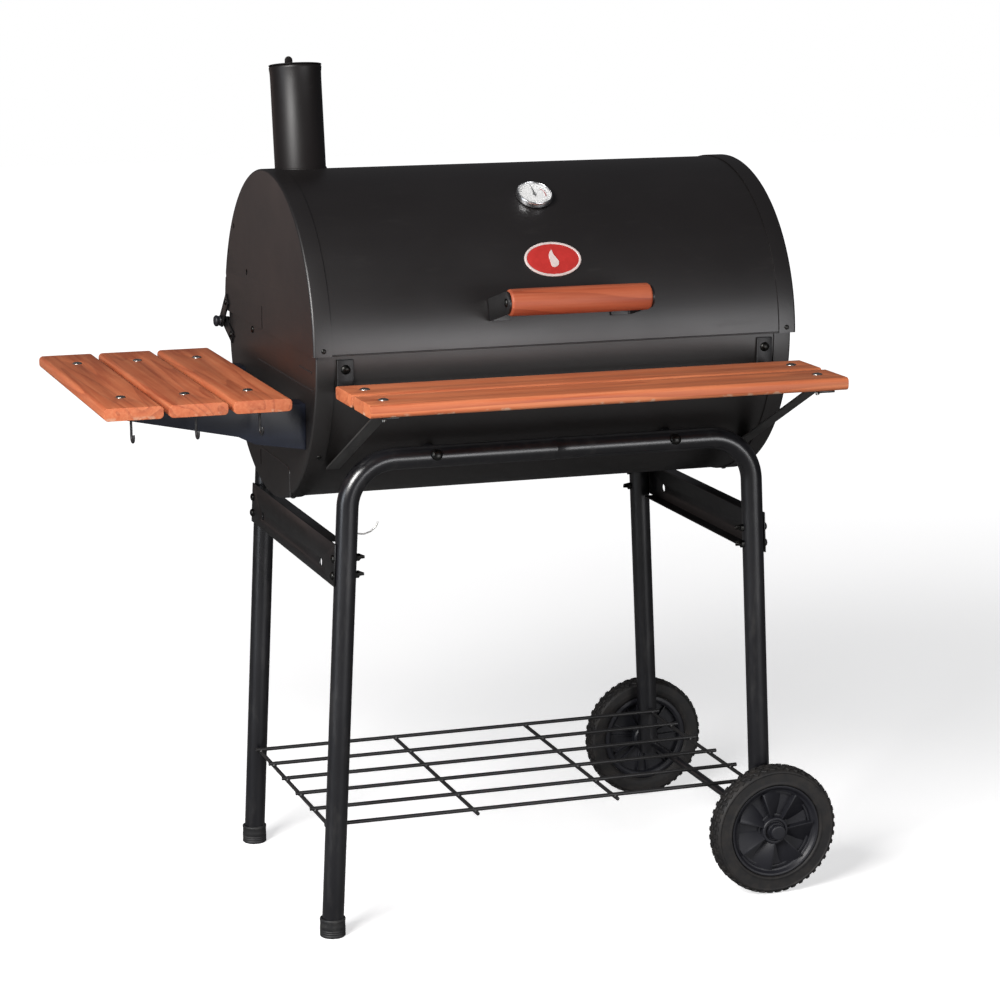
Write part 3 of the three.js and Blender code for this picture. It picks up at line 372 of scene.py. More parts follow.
for row, y_of in (
    ("front", lambda box: box[0].y + tube_radius), ("back", lambda box: box[1].y - tube_radius)
):
    for side, label in ((-1, "left"), (1, "right")):
        node = f"leg_{row}_{label}"
        line, middle = leg_line(node, side, y_of(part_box(node)))
        girths = [1.0] * len(line)
        if side < 0:
            ends = ((0.004, 1.0), (0.0012, 1.035), (0.0003, 1.035))
        else:
            ends = ((0.0045, 1.0), (0.0025, 0.93), (-0.012, 0.93))
        for gap, girth in ends:
            line.append(middle + Vector((side * gap, 0, 0)))
            girths.append(girth)
        leg = cook(
            lines_object([line], girths), tube_run, f"{node}_tube", Radius=tube_radius, Sides=40,
            Finish=tube_coat,
        )
        mount_piece(leg, "cart", "tube_paint", node)


def turned(name, profile, place, material, turns=64, sharp=35):
    """A turned piece: (radius, height) points about the local Z of place, closed on the axis or on itself."""
    form = bmesh.new()
    rings = []
    for radius, height in profile:
        if radius < 1e-7:
            rings.append([form.verts.new(place @ Vector((0, 0, height)))] * turns)
            continue
        ring = []
        for i in range(turns):
            angle = 2 * math.pi * i / turns
            ring.append(
                form.verts.new(
                    place @ Vector((radius * math.cos(angle), radius * math.sin(angle), height))
                )
            )
        rings.append(ring)
    for lower, upper in zip(rings, rings[1:]):
        for i in range(turns):
            k = (i + 1) % turns
            corners = list(dict.fromkeys((lower[i], lower[k], upper[k], upper[i])))
            if len(corners) > 2:
                form.faces.new(corners)
    return settle(name, form, material, sharp)


def settle(name, form, material, sharp=35):
    """A bmesh as an object, with doubled points merged and faces turned outwards."""
    bmesh.ops.remove_doubles(form, verts=form.verts, dist=1e-6)
    bmesh.ops.recalc_face_normals(form, faces=form.faces)
    mesh = bpy.data.meshes.new(name)
    form.to_mesh(mesh)
    form.free()
    mesh.materials.append(material)
    return stand(name, mesh, sharp)


def rounded(corners, radius, steps=5):
    """An open run of points with each inner corner made an arc of that radius, where there is room."""
    run = [corners[0]]
    for before, corner, after in zip(corners, corners[1:], corners[2:]):
        a, b, c = Vector(before), Vector(corner), Vector(after)
        into, out = (a - b), (c - b)
        reach = min(radius, into.length * 0.48, out.length * 0.48)
        start, end = b + into.normalized() * reach, b + out.normalized() * reach
        for i in range(steps + 1):
            t = i / steps
            run.append(tuple(start * (1 - t) ** 2 + b * 2 * t * (1 - t) + end * t ** 2))
    return run + [corners[-1]]


def axis_place(origin, along):
    """A place whose local Z points along a direction."""
    return Matrix.Translation(origin) @ Vector(along).to_track_quat("Z", "Y").to_matrix().to_4x4()


def set_out_recipe():
    """One copy of a fastener at every point, turned by the point's own attribute."""
    tree = recipe("set_out", {"Fastener": "NodeSocketObject", "Finish": "NodeSocketMaterial"})
    given = step(tree, "NodeGroupInput", {})
    form = step(tree, "GeometryNodeObjectInfo", {"Object": given.outputs["Fastener"]})
    turn = step(tree, "GeometryNodeInputNamedAttribute", {"Name": "turn"}, data_type="FLOAT_VECTOR")
    turned_by = step(tree, "FunctionNodeEulerToRotation", {0: turn.outputs[0]})
    links = {
        "Points": given.outputs["Geometry"],
        "Instance": form.outputs["Geometry"],
        "Rotation": turned_by.outputs[0],
    }
    copies = step(tree, "GeometryNodeInstanceOnPoints", links)
    return end_recipe(tree, copies.outputs[0], given.outputs["Finish"])


set_out = set_out_recipe()


def fasteners(name, form, places, material):
    """Copies of a form at (point, direction) places, as one piece. The form stands on Z and is used up."""
    mesh = bpy.data.meshes.new("places")
    mesh.from_pydata([tuple(point) for point, _ in places], [], [])
    turn = mesh.attributes.new("turn", "FLOAT_VECTOR", "POINT")
    turns = []
    for _, along in places:
        turns += list(Vector(along).to_track_quat("Z", "Y").to_euler())
    turn.data.foreach_set("vector", turns)
    holder = bpy.data.objects.new("places", mesh)
    bpy.context.scene.collection.objects.link(holder)
    made = cook(holder, set_out, name, Fastener=form, Finish=material)
    bpy.data.objects.remove(form)
    return made


def zinc_finish(name="bright_zinc", tone=0.62):
    plate = Finish(name, Metallic=1.0)
    spangle = plate.noise(plate.place(), 260.0, 4.0)
    stain = plate.noise(plate.place(), 35.0)
    light, dark = (tone, tone, tone * 0.97, 1), (tone * 0.55, tone * 0.54, tone * 0.5, 1)
    colour = plate.mix(plate.between(stain, 0.35, 0.7), light, dark)
    return plate.surface(Base_Color=colour, Roughness=plate.between(spangle, 0.3, 0.7, 0.24, 0.46))


zinc = zinc_finish()
screw_black = zinc_finish("blackened_steel", 0.045)


def dome_head(radius, height):
    """A dome-headed bolt's head, standing on Z = 0, with its edge let in a little."""
    skirt = 0.0008
    profile = [(0, -skirt), (radius, -skirt), (radius, skirt * 0.6)]
    for i in range(1, 7):
        angle = math.pi / 2 * i / 6
        profile.append((radius * math.cos(angle), skirt * 0.6 + (height - skirt * 0.6) * math.sin(angle)))
    return turned("dome_head_form", profile, Matrix.Identity(4), zinc, 20, 50)


def hex_nut(across, height, end=0.0):
    """A six-sided nut with its bolt's end showing, standing on Z = 0."""
    form = bmesh.new()
    bmesh.ops.create_cone(
        form, cap_ends=True, segments=6, radius1=across / 1.732, radius2=across / 1.732, depth=height
    )
    bmesh.ops.translate(form, verts=form.verts, vec=(0, 0, height / 2))
    bmesh.ops.bevel(form, geom=list(form.edges), offset=height * 0.1, segments=2, affect="EDGES", profile=0.6)
    stub = across * 0.28
    length = end or height * 1.9
    bmesh.ops.create_cone(form, cap_ends=True, segments=16, radius1=stub, radius2=stub * 0.86, depth=length)
    bmesh.ops.translate(form, verts=form.verts[-32:], vec=(0, 0, length / 2))
    return settle("hex_nut_form", form, zinc, 30)


# Dome bolts through the level tubes into the bosses, and the boss itself behind each.
frame_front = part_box("leg_front_left")[0].y + tube_radius
frame_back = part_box("leg_back_left")[1].y - tube_radius
dome = dome_head(0.0085, 0.0055)
bolt_places = []
for side in (-1, 1):
    bolt_places.append(
        ((barrel.x + side * boss_reach, frame_front - tube_radius, cross_height + 0.005), (0, -1, 0.3))
    )
    bolt_places.append(
        ((barrel.x + side * boss_reach, frame_back + tube_radius, cross_height + 0.005), (0, 1, 0.3))
    )
mount_piece(fasteners("frame_dome_bolts", dome, bolt_places, screw_black), "cart", "tube_paint")

boss_radius = 0.009
bosses = []
for side in (-1, 1):
    for near, far in (
        (frame_front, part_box("leg_front_left")[1].y), (frame_back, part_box("leg_back_left")[0].y)
    ):
        x, z = barrel.x + side * boss_reach, cross_height + 0.005
        away = 1 if far > near else -1
        bosses.append([(x, near + away * 0.011, z), (x, far - away * 0.002, z)])
boss_tubes = cook(
    lines_object(bosses), tube_run, "frame_bosses", Radius=boss_radius, Sides=28, Finish=tube_coat
)
mount_piece(boss_tubes, "cart", "tube_paint")


# ---------------------------------------------------------------- foot caps
# A moulded plastic cap is pushed over the lower end of each left leg, with a
# rolled lip at its mouth and shallow grip ribs round its foot.

def foot_finish():
    plastic = Finish("foot_plastic")
    here = plastic.place()
    scuff = plastic.between(plastic.noise(here, 60.0, 6.0, 0.7), 0.5, 0.75)
    colour = plastic.mix(scuff, (0.018, 0.018, 0.019, 1), (0.05, 0.049, 0.047, 1))
    grain = plastic.noise(here, 900.0, 2.0)
    return plastic.surface(
        Base_Color=colour, Roughness=scuff * 0.2 + 0.55, Normal=plastic.bump(grain, 0.00015, 0.6)
    )


foot_plastic = foot_finish()
for row in ("front", "back"):
    low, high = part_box(f"foot_cap_{row}")
    middle = (low + high) / 2
    radius = (high.x - low.x) / 2
    height = high.z - low.z
    side_profile = [(0, 0), (radius - 0.0012, 0), (radius, 0.0012)]
    for rib in range(3):
        base = 0.004 + rib * 0.0032
        side_profile += [
            (radius, base), (radius - 0.0006, base + 0.0006), (radius - 0.0006, base + 0.0016),
            (radius, base + 0.0022),
        ]
    side_profile += [
        (radius - 0.0004, 0.018), (radius - 0.0004, height - 0.0045), (radius, height - 0.0038),
        (radius, height - 0.0008),
    ]
    side_profile += [
        (radius - 0.0008, height), (tube_radius + 0.0004, height), (tube_radius + 0.0002, height - 0.008),
        (0, height - 0.008),
    ]
    cap = turned(
        f"foot_cap_{row}_moulded", side_profile, Matrix.Translation((middle.x, middle.y, low.z)),
        foot_plastic, 48, 50,
    )
    mount_piece(cap, "cart", "foot_rubber", f"foot_cap_{row}")


# ---------------------------------------------------------------- end braces
# Steel channels tie the front and back legs at each end. They are painted black,
# with their flanges turned in between the legs, and bolted through the tubes.

def bracket_finish(name, colour, gloss):
    coat = Finish(name, IOR=1.55)
    here = coat.place()
    cloud = coat.noise(here, 9.0, 4.0, 0.6)
    streak = coat.noise(coat.place((6, 6, 90)), 1.0, 4.0)
    peel = coat.noise(here, 700.0, 2.0)
    dark = tuple(c * 0.65 for c in colour) + (1,)
    light = tuple(c * 1.35 for c in colour) + (1,)
    tone = coat.mix(coat.between(cloud * 0.7 + streak * 0.3, 0.35, 0.65), dark, light)
    return coat.surface(
        Base_Color=tone,
        Roughness=coat.between(cloud, 0.3, 0.7, gloss - 0.06, gloss + 0.08),
        Normal=coat.bump(peel, 0.00014, 0.5),
    )


bracket_coat = bracket_finish("bracket_powder_coat", (0.0075, 0.007, 0.0075), 0.36)


def eased(name, node, ease, body, slot, material, holes=()):
    """A sheet or cast piece: the CAD node's form with its edges eased, and holes drilled through."""
    form = bmesh.new()
    form.from_mesh(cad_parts[node].data)
    bmesh.ops.remove_doubles(form, verts=form.verts, dist=1e-6)
    bmesh.ops.dissolve_limit(form, angle_limit=math.radians(1), verts=form.verts, edges=form.edges)
    piece = settle(name, form, material)
    drills = [drill(*hole) for hole in holes]
    for tool in drills:
        cutter = piece.modifiers.new("hole", "BOOLEAN")
        cutter.operation, cutter.solver, cutter.object = "DIFFERENCE", "EXACT", tool
    softener = piece.modifiers.new("eased_edges", "BEVEL")
    softener.width, softener.segments, softener.limit_method = ease, 2, "ANGLE"
    softener.angle_limit = math.radians(40)
    softener.use_clamp_overlap = True
    return mount_piece(baked(piece, drills), body, slot, node)


def drill(point, along, radius, depth=0.02):
    """A round cutter centred on a point."""
    profile = [(0, -depth), (radius, -depth), (radius, depth), (0, depth)]
    return turned("drill", profile, axis_place(point, along), zinc, 24)


def baked(piece, tools=()):
    """The piece with its modifiers made part of its mesh."""
    bpy.context.view_layer.update()
    graph = bpy.context.evaluated_depsgraph_get()
    mesh = bpy.data.meshes.new_from_object(piece.evaluated_get(graph), depsgraph=graph)
    piece.modifiers.clear()
    piece.data = mesh
    mesh.set_sharp_from_angle(angle=math.radians(35))
    for tool in tools:
        bpy.data.objects.remove(tool)
    return piece


nut = hex_nut(0.010, 0.0055, 0.013)
dome = dome_head(0.0062, 0.0042)
brace_hole_inset = 0.064
brace_hole_drop = 0.009
brace_hole_radius = 0.0062
brace_domes = []
brace_nuts = []
for side, label in ((-1, "left"), (1, "right")):
    low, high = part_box(f"side_brace_{label}")
    middle = (low + high) / 2
    half_lean = (high.z - low.z) / 2 * math.tan(tube_splay)
    web = low.x + half_lean if side < 0 else high.x - half_lean
    holes = []
    for y in (frame_front + brace_hole_inset, frame_back - brace_hole_inset):
        holes.append(((web, y, middle.z - brace_hole_drop), (1, 0, 0), brace_hole_radius))
    eased(
        f"side_brace_{label}_channel", f"side_brace_{label}", 0.0008, "cart", "tube_paint", bracket_coat,
        holes,
    )
    for y in (frame_front, frame_back):
        for rise in (-0.016, 0.009):
            lean = side * -math.tan(tube_splay) * rise
            brace_domes.append(((web + lean, y, middle.z + rise), (side, 0, 0)))
            inner = web - side * (2 * tube_radius + 0.0018)
            brace_nuts.append(((inner + lean, y, middle.z + rise), (-side, 0, 0)))
mount_piece(fasteners("brace_bolt_heads", dome, brace_domes, screw_black), "cart", "tube_paint")
mount_piece(fasteners("brace_nuts", nut, brace_nuts, screw_black), "cart", "tube_paint")

# A bent wire keeper hangs on the front left leg just above the brace.
keeper_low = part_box("side_brace_left")[1].z + 0.001
keeper_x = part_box("leg_front_left")[0].x + tube_radius + (keeper_low * math.tan(tube_splay))
keeper = [
    (keeper_x + 0.012, frame_front, keeper_low + 0.012),
    (keeper_x + 0.026, frame_front, keeper_low + 0.010),
    (keeper_x + 0.036, frame_front, keeper_low + 0.013),
    (keeper_x + 0.044, frame_front - 0.001, keeper_low + 0.020),
    (keeper_x + 0.047, frame_front - 0.001, keeper_low + 0.027),
]
keeper_wire = cook(lines_object([keeper]), tube_run, "leg_wire_keeper", Radius=0.0012, Sides=12, Finish=zinc)
mount_piece(keeper_wire, "cart", "zinc")


# ---------------------------------------------------------------- bottom rack
# Drawn steel wires, welded where they cross and painted black. The end wires
# plug into holes in the legs.

def wire_finish():
    coat = Finish("rack_black", IOR=1.5)
    here = coat.place()
    cloud = coat.noise(here, 25.0)
    lump = coat.noise(here, 420.0, 2.0)
    colour = coat.mix(cloud, (0.011, 0.011, 0.012, 1), (0.026, 0.025, 0.025, 1))
    return coat.surface(Base_Color=colour, Roughness=cloud * 0.2 + 0.28, Normal=coat.bump(lump, 0.0002, 0.5))


rack_black = wire_finish()
wire_radius = 0.003
rack_low, rack_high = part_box("bottom_rack")
rack_middle = (rack_low + rack_high) / 2
long_wires = 6
long_pitch = 0.0806
cross_z = rack_low.z + wire_radius
long_z = rack_high.z - wire_radius
long_reach = (rack_high.x - rack_low.x) / 2
cross_reaches = (long_reach - 0.009, 0.112)


def wire_line(start, end, steps=24, sag=0.0006):
    """A drawn wire between two points, with the slight waviness of a welded rack."""
    a, b = Vector(start), Vector(end)
    line = []
    for i in range(steps + 1):
        point = a.lerp(b, i / steps)
        point.z -= sag * math.sin(math.pi * i / steps)
        line.append(point)
    return line


wires = []
welds = []
for i in range(long_wires):
    y = barrel.y + (i - (long_wires - 1) / 2) * long_pitch
    wires.append(wire_line((rack_middle.x - long_reach, y, long_z), (rack_middle.x + long_reach, y, long_z)))
    for side in (-1, 1):
        for reach in cross_reaches:
            welds.append(((rack_middle.x + side * reach, y, (long_z + cross_z) / 2), (0, 0, 1)))
for side in (-1, 1):
    for reach in cross_reaches:
        x = rack_middle.x + side * reach
        end = (rack_high.y - rack_low.y) / 2 if reach > 0.2 else long_pitch * 2.5 + 0.009
        wires.append(wire_line((x, barrel.y - end, cross_z), (x, barrel.y + end, cross_z), 24, 0.0))
rack = cook(lines_object(wires), tube_run, "rack_wires", Radius=wire_radius, Sides=16, Finish=rack_black)
mount_piece(rack, "cart", "rack_wire", "bottom_rack")
nugget = turned(
    "weld_form", [(0, -0.003), (0.0032, -0.0021), (0.0043, 0), (0.0032, 0.0021), (0, 0.003)],
    Matrix.Identity(4), rack_black, 10, 80,
)
mount_piece(fasteners("rack_welds", nugget, welds, rack_black), "cart", "rack_wire")


# ---------------------------------------------------------------- axle and wheels
# Moulded wheels with seven sloping blades and a solid tyre with a block tread.
# They run on a black steel axle, and a plastic cap is pushed on each end.

def wheel_finish():
    plastic = Finish("wheel_plastic_grain")
    here = plastic.place()
    cloud = plastic.noise(here, 30.0, 4.0)
    grain = plastic.noise(here, 1300.0, 2.0)
    colour = plastic.mix(cloud, (0.0085, 0.009, 0.0125, 1), (0.017, 0.017, 0.022, 1))
    return plastic.surface(
        Base_Color=colour, Roughness=cloud * 0.16 + 0.36, Normal=plastic.bump(grain, 0.0001, 0.6)
    )


def tyre_finish():
    rubber = Finish("tyre_rubber_grain")
    here = rubber.place()
    dust = rubber.between(rubber.noise(here, 55.0, 6.0, 0.7), 0.42, 0.72)
    grain = rubber.noise(here, 1000.0, 3.0)
    colour = rubber.mix(dust, (0.010, 0.0095, 0.010, 1), (0.030, 0.026, 0.023, 1))
    return rubber.surface(
        Base_Color=colour, Roughness=dust * 0.15 + 0.6, Normal=rubber.bump(grain, 0.0002, 0.7)
    )


wheel_plastic = wheel_finish()
tyre_rubber = tyre_finish()
hub_radius = 0.021
seat_radius = 0.072
blade_count = 7
tread_pitches = 46
tread_rows = 4


def block_form(length, width, height):
    """A tread block with eased edges, standing on Z = 0."""
    form = bmesh.new()
    bmesh.ops.create_cube(form, size=1)
    bmesh.ops.scale(form, verts=form.verts, vec=(length, width, height))
    bmesh.ops.translate(form, verts=form.verts, vec=(0, 0, height / 2 - 0.0006))
    top = [e for e in form.edges if all(v.co.z > 0 for v in e.verts)]
    bmesh.ops.bevel(form, geom=top, offset=height * 0.22, segments=1, affect="EDGES", profile=0.5)
    return settle("block_form", form, tyre_rubber, 25)


def sector(form, place, angles, inner, outer, levels, thickness):
    """A sloping blade between two radii: its outer face runs from levels[0] to levels[1]."""
    steps = 6
    rows = []
    for i in range(steps + 1):
        t = i / steps
        angle = angles[0] + (angles[1] - angles[0]) * t
        level = levels[0] + (levels[1] - levels[0]) * t
        row = []
        for radius, height in (
            (inner, level), (outer, level), (outer, level - thickness), (inner, level - thickness)
        ):
            row.append(
                form.verts.new(
                    place @ Vector((radius * math.cos(angle), radius * math.sin(angle), height))
                )
            )
        rows.append(row)
    for near, far in zip(rows, rows[1:]):
        for i in range(4):
            k = (i + 1) % 4
            form.faces.new((near[i], near[k], far[k], far[i]))
    form.faces.new(rows[0])
    form.faces.new(reversed(rows[-1]))


for side, label in ((-1, "front"), (1, "back")):
    low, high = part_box(f"tyre_{label}")
    middle = (low + high) / 2
    radius = (high.z - low.z) / 2
    half = (high.y - low.y) / 2
    outward = axis_place(middle, (0, side, 0))
    body = f"wheel_pair_{label}"
    tread_top = radius - 0.0001
    groove = radius - 0.0030
    carcass = [
        (seat_radius + 0.0003, -half + 0.004),
        (seat_radius + 0.004, -half + 0.0012),
        (seat_radius + 0.010, -half),
        (radius - 0.0075, -half),
        (radius - 0.0045, -half + 0.003),
        (groove, -half + 0.006),
        (groove + 0.0004, 0),
        (groove, half - 0.006),
        (radius - 0.0045, half - 0.003),
        (radius - 0.0065, half - 0.0006),
        (radius - 0.0085, half - 0.0002),
        (radius - 0.0095, half - 0.0012),
        (radius - 0.0110, half - 0.0012),
        (seat_radius + 0.006, half - 0.0012),
        (seat_radius + 0.0035, half - 0.0004),
        (seat_radius + 0.0015, half - 0.0008),
        (seat_radius + 0.0003, half - 0.003),
    ]
    tyre = turned(
        f"tyre_{label}_carcass", rounded(carcass + carcass[:1], 0.0012, 3), outward, tyre_rubber, 96, 50
    )
    mount_piece(tyre, body, "tyre_rubber", f"tyre_{label}")

    places = []
    for row in range(tread_rows):
        across = (row - (tread_rows - 1) / 2) * (2 * half - 0.006) / tread_rows
        shoulder = abs(row - (tread_rows - 1) / 2) > 1
        for i in range(tread_pitches):
            angle = 2 * math.pi * (i + 0.5 * (row % 2)) / tread_pitches
            out = Vector((math.cos(angle), 0, math.sin(angle)))
            tilt = Vector((0, math.copysign(0.30, across), 0)) if shoulder else Vector((0, 0, 0))
            depth = groove - (0.0006 if shoulder else 0)
            places.append((middle + out * depth + Vector((0, across, 0)), out + tilt))
    block = block_form(
        2 * math.pi * radius / tread_pitches * 0.62, (2 * half - 0.006) / tread_rows * 0.86,
        tread_top - groove,
    )
    tread = fasteners(f"tyre_{label}_tread", block, places, tyre_rubber)
    mount_piece(tread, body, "tyre_rubber")

    rim = [
        (seat_radius - 0.0105, 0.006), (seat_radius - 0.0105, half - 0.0085), (
            seat_radius - 0.007, half - 0.0075
        ),
        (seat_radius - 0.004, half - 0.0035), (seat_radius - 0.0004, half - 0.0030), (
            seat_radius - 0.0001, half - 0.005
        ),
        (seat_radius - 0.0001, -half + 0.005), (seat_radius - 0.006, -half + 0.004), (
            seat_radius - 0.0105, -half + 0.006
        ),
        (seat_radius - 0.0105, 0.006),
    ]
    hub = [
        (0.0068, -half - 0.0008), (hub_radius - 0.003, -half - 0.0008), (hub_radius, -half + 0.002),
        (hub_radius, half - 0.0055), (hub_radius - 0.0012, half - 0.004), (hub_radius - 0.0045, half - 0.004),
        (hub_radius - 0.0052, half - 0.0075), (0.0135, half - 0.0075), (0.013, half - 0.0006), (
            0.0068, half - 0.0004
        ),
        (0.0068, -half - 0.0008),
    ]
    rim_piece = turned(f"wheel_{label}_rim", rounded(rim, 0.0009, 3), outward, wheel_plastic, 72, 50)
    mount_piece(rim_piece, body, "wheel_plastic", f"wheel_{label}")
    hub_piece = turned(f"wheel_{label}_hub", rounded(hub, 0.0007, 3), outward, wheel_plastic, 48, 50)
    mount_piece(hub_piece, body, "wheel_plastic")

    blades = bmesh.new()
    pitch = 2 * math.pi / blade_count
    root, tip = hub_radius - 0.001, seat_radius - 0.0095
    for i in range(blade_count):
        raised = math.radians(58) - i * pitch
        sector(
            blades, outward, (raised, raised - pitch * 0.66), root, tip, (half - 0.0045, half - 0.0165),
            0.0026,
        )
        lip = (raised + pitch * 0.030, raised - pitch * 0.012)
        sector(blades, outward, lip, root, tip, (half - 0.0040, half - 0.0040), 0.020)
        sector(
            blades, outward, (raised - pitch * 0.64, raised - pitch * 0.67), root, tip,
            (half - 0.0163, half - 0.0163), 0.009,
        )
        sector(
            blades, outward, (raised, raised - pitch), seat_radius - 0.0145, seat_radius - 0.0098,
            (half - 0.0125, half - 0.0125), 0.004,
        )
        sector(
            blades, outward, (raised, raised - pitch), root, hub_radius + 0.004,
            (half - 0.0125, half - 0.0125), 0.004,
        )
    bmesh.ops.recalc_face_normals(blades, faces=blades.faces)
    blade_piece = settle(f"wheel_{label}_blades", blades, wheel_plastic, 30)
    web = [
        (0.0068, -0.0014), (seat_radius - 0.009, -0.0014), (seat_radius - 0.009, 0.0014),
        (0.0068, 0.0014), (0.0068, -0.0014),
    ]
    web_piece = turned(f"wheel_{label}_web", web, outward, wheel_plastic, 72, 50)
    mount_piece(web_piece, body, "wheel_plastic")
    edge = blade_piece.modifiers.new("moulded_edges", "BEVEL")
    edge.width, edge.segments, edge.limit_method = 0.0004, 2, "ANGLE"
    mount_piece(baked(blade_piece), body, "wheel_plastic")

axle_low, axle_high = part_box("axle")
axle_middle = (axle_low + axle_high) / 2
cap_radius = (axle_high.z - axle_low.z) / 2
axle_reach = (axle_high.y - axle_low.y) / 2
axle_radius = 0.006
axle_lathe = axis_place(axle_middle, (0, 1, 0))
rod_end = axle_reach - 0.0082
rod_profile = [
    (0, -rod_end), (axle_radius - 0.001, -rod_end), (axle_radius, -rod_end + 0.001),
    (axle_radius, rod_end - 0.001), (axle_radius - 0.001, rod_end), (0, rod_end),
]
mount_piece(turned("axle_rod", rod_profile, axle_lathe, tube_coat, 32), "cart", "tube_paint", "axle")
cap_profile = [
    (0, 0), (cap_radius - 0.0022, 0), (cap_radius - 0.0006, -0.0007), (cap_radius, -0.0024),
    (cap_radius, -0.0078), (0, -0.0078),
]
cap_form = turned("cap_form", rounded(cap_profile, 0.0006, 3), Matrix.Identity(4), wheel_plastic, 40, 50)
cap_places = [(axle_middle + Vector((0, s * axle_reach, 0)), (0, s, 0)) for s in (-1, 1)]
mount_piece(fasteners("axle_end_caps", cap_form, cap_places, wheel_plastic), "cart", "wheel_plastic")


# ---------------------------------------------------------------- drum
# The lower half of the barrel is a sheet of steel rolled to an oval, between two
# pressed ends whose flanges turn in over it. It is sprayed with satin black stove paint.

def stove_finish(name, cool, gloss, dusty, index=1.75):
    """Satin black stove paint: a soft cloudy gloss, fine orange peel and a little dust."""
    paint = Finish(name, IOR=index)
    here = paint.place()
    cloud = paint.noise(here, 3.2, 4.0, 0.55)
    sweep = paint.noise(paint.place((0.35, 5.0, 5.0)), 2.2, 3.0)
    peel = paint.noise(here, 520.0, 3.0, 0.6)
    speck = paint.between(paint.noise(here, 310.0, 4.0, 0.75), 0.70, 0.80)
    scuff = paint.between(paint.noise(paint.place((3, 14, 14)), 5.0, 8.0, 0.72), 0.60, 0.80)
    warm, black = (0.0125, 0.0100, 0.0092, 1), (0.0065, 0.0056, 0.0056, 1)
    base = paint.mix(cloud, black, cool if cool else warm)
    dust = paint.mix(scuff * dusty, base, (0.075, 0.066, 0.060, 1))
    colour = paint.mix(speck * 0.30, dust, (0.11, 0.10, 0.095, 1))
    rough = paint.between(cloud * 0.6 + sweep * 0.4, 0.35, 0.65, gloss - 0.05, gloss + 0.06)
    return paint.surface(
        Base_Color=colour, Roughness=rough + scuff * 0.08, Normal=paint.bump(peel, 0.00016, 0.45)
    )


drum_paint = stove_finish("drum_stove_paint", None, 0.43, 0.22)
end_flange = 0.027
sheet = 0.0016
end_low, end_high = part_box("drum_end_left")
drum_depth = (end_high.y - end_low.y) / 2
axis_z = 0.858
drum_height = axis_z - end_low.z
rim_z = end_high.z
drum_reach = barrel.x - end_low.x
oval_steps = 120


def oval(depth, height, start, end, steps=oval_steps):
    """(y, z) points round the barrel's axis, from one angle to another."""
    run = []
    for i in range(steps + 1):
        angle = start + (end - start) * i / steps
        run.append((barrel.y - depth * math.cos(angle), axis_z + height * math.sin(angle)))
    return run


def rolled_sheet(name, depth, height, reach, angles, material):
    """A sheet rolled to part of the oval, closed all round."""
    form = bmesh.new()
    outer = oval(depth, height, *angles)
    inner = oval(depth - sheet, height - sheet, *angles)
    stations = [-reach, -reach * 0.5, 0, reach * 0.5, reach]
    grid = []
    for x in stations:
        ring = [form.verts.new((barrel.x + x, y, z)) for y, z in outer]
        ring += [form.verts.new((barrel.x + x, y, z)) for y, z in reversed(inner)]
        grid.append(ring)
    count = len(grid[0])
    for near, far in zip(grid, grid[1:]):
        for i in range(count):
            k = (i + 1) % count
            form.faces.new((near[i], near[k], far[k], far[i]))
    half_count = count // 2
    for ring in (grid[0], grid[-1]):
        for i in range(half_count - 1):
            form.faces.new((ring[i], ring[i + 1], ring[count - 2 - i], ring[count - 1 - i]))
    return settle(name, form, material, 40)


def pressed_end(name, side, depth, height, reach, angles, material, holes, ribs, node, body, slot):
    """A pressed end: a flat plate whose rounded edge turns over the rolled sheet as a flange."""
    form = bmesh.new()
    bend = 0.0035
    profile = [(0.0, end_flange), (0.0, bend)]
    for i in range(1, 6):
        angle = math.pi / 2 * i / 5
        profile.append((bend * (1 - math.cos(angle)), bend * (1 - math.sin(angle))))
    rings = []
    for inset, back in profile:
        x = barrel.x + side * (reach - back)
        rings.append([form.verts.new((x, y, z)) for y, z in oval(depth - inset, height - inset, *angles)])
    for near, far in zip(rings, rings[1:]):
        for i in range(oval_steps):
            form.faces.new((near[i], near[i + 1], far[i + 1], far[i]))
    form.faces.new(rings[-1])
    plate = settle(name, form, material, 40)
    if plate.data.polygons[-1].normal.x * side < 0:
        plate.data.flip_normals()
    wall = plate.modifiers.new("wall", "SOLIDIFY")
    wall.thickness, wall.offset = 0.0013, -1
    wall.use_even_offset = True
    tools = [drill(*hole) for hole in holes]
    for slot_low, slot_high in ribs["slots"]:
        tools.append(slot_cutter(slot_low, slot_high))
    for tool in tools:
        cutter = plate.modifiers.new("hole", "BOOLEAN")
        cutter.operation, cutter.solver, cutter.object = "DIFFERENCE", "EXACT", tool
    plate = mount_piece(baked(plate, tools), body, slot, node)
    if ribs["lines"]:
        x = barrel.x + side * (reach - 0.0006)
        lines = [[(x, y, z) for y, z in line] for line in ribs["lines"]]
        raised = cook(
            lines_object(lines), tube_run, f"{name}_pressed_lines", Radius=0.0015, Sides=12,
            Finish=material,
        )
        mount_piece(raised, body, slot)
    return plate


def slot_cutter(low, high):
    form = bmesh.new()
    bmesh.ops.create_cube(form, size=1)
    size = Vector(high) - Vector(low)
    bmesh.ops.scale(form, verts=form.verts, vec=size)
    bmesh.ops.translate(form, verts=form.verts, vec=(Vector(low) + Vector(high)) / 2)
    return settle("slot_cutter", form, zinc)


def on_end(y, z):
    """A place on the barrel's ends, from millimetres behind and above the axis."""
    return barrel.y + y / 1000, axis_z + z / 1000


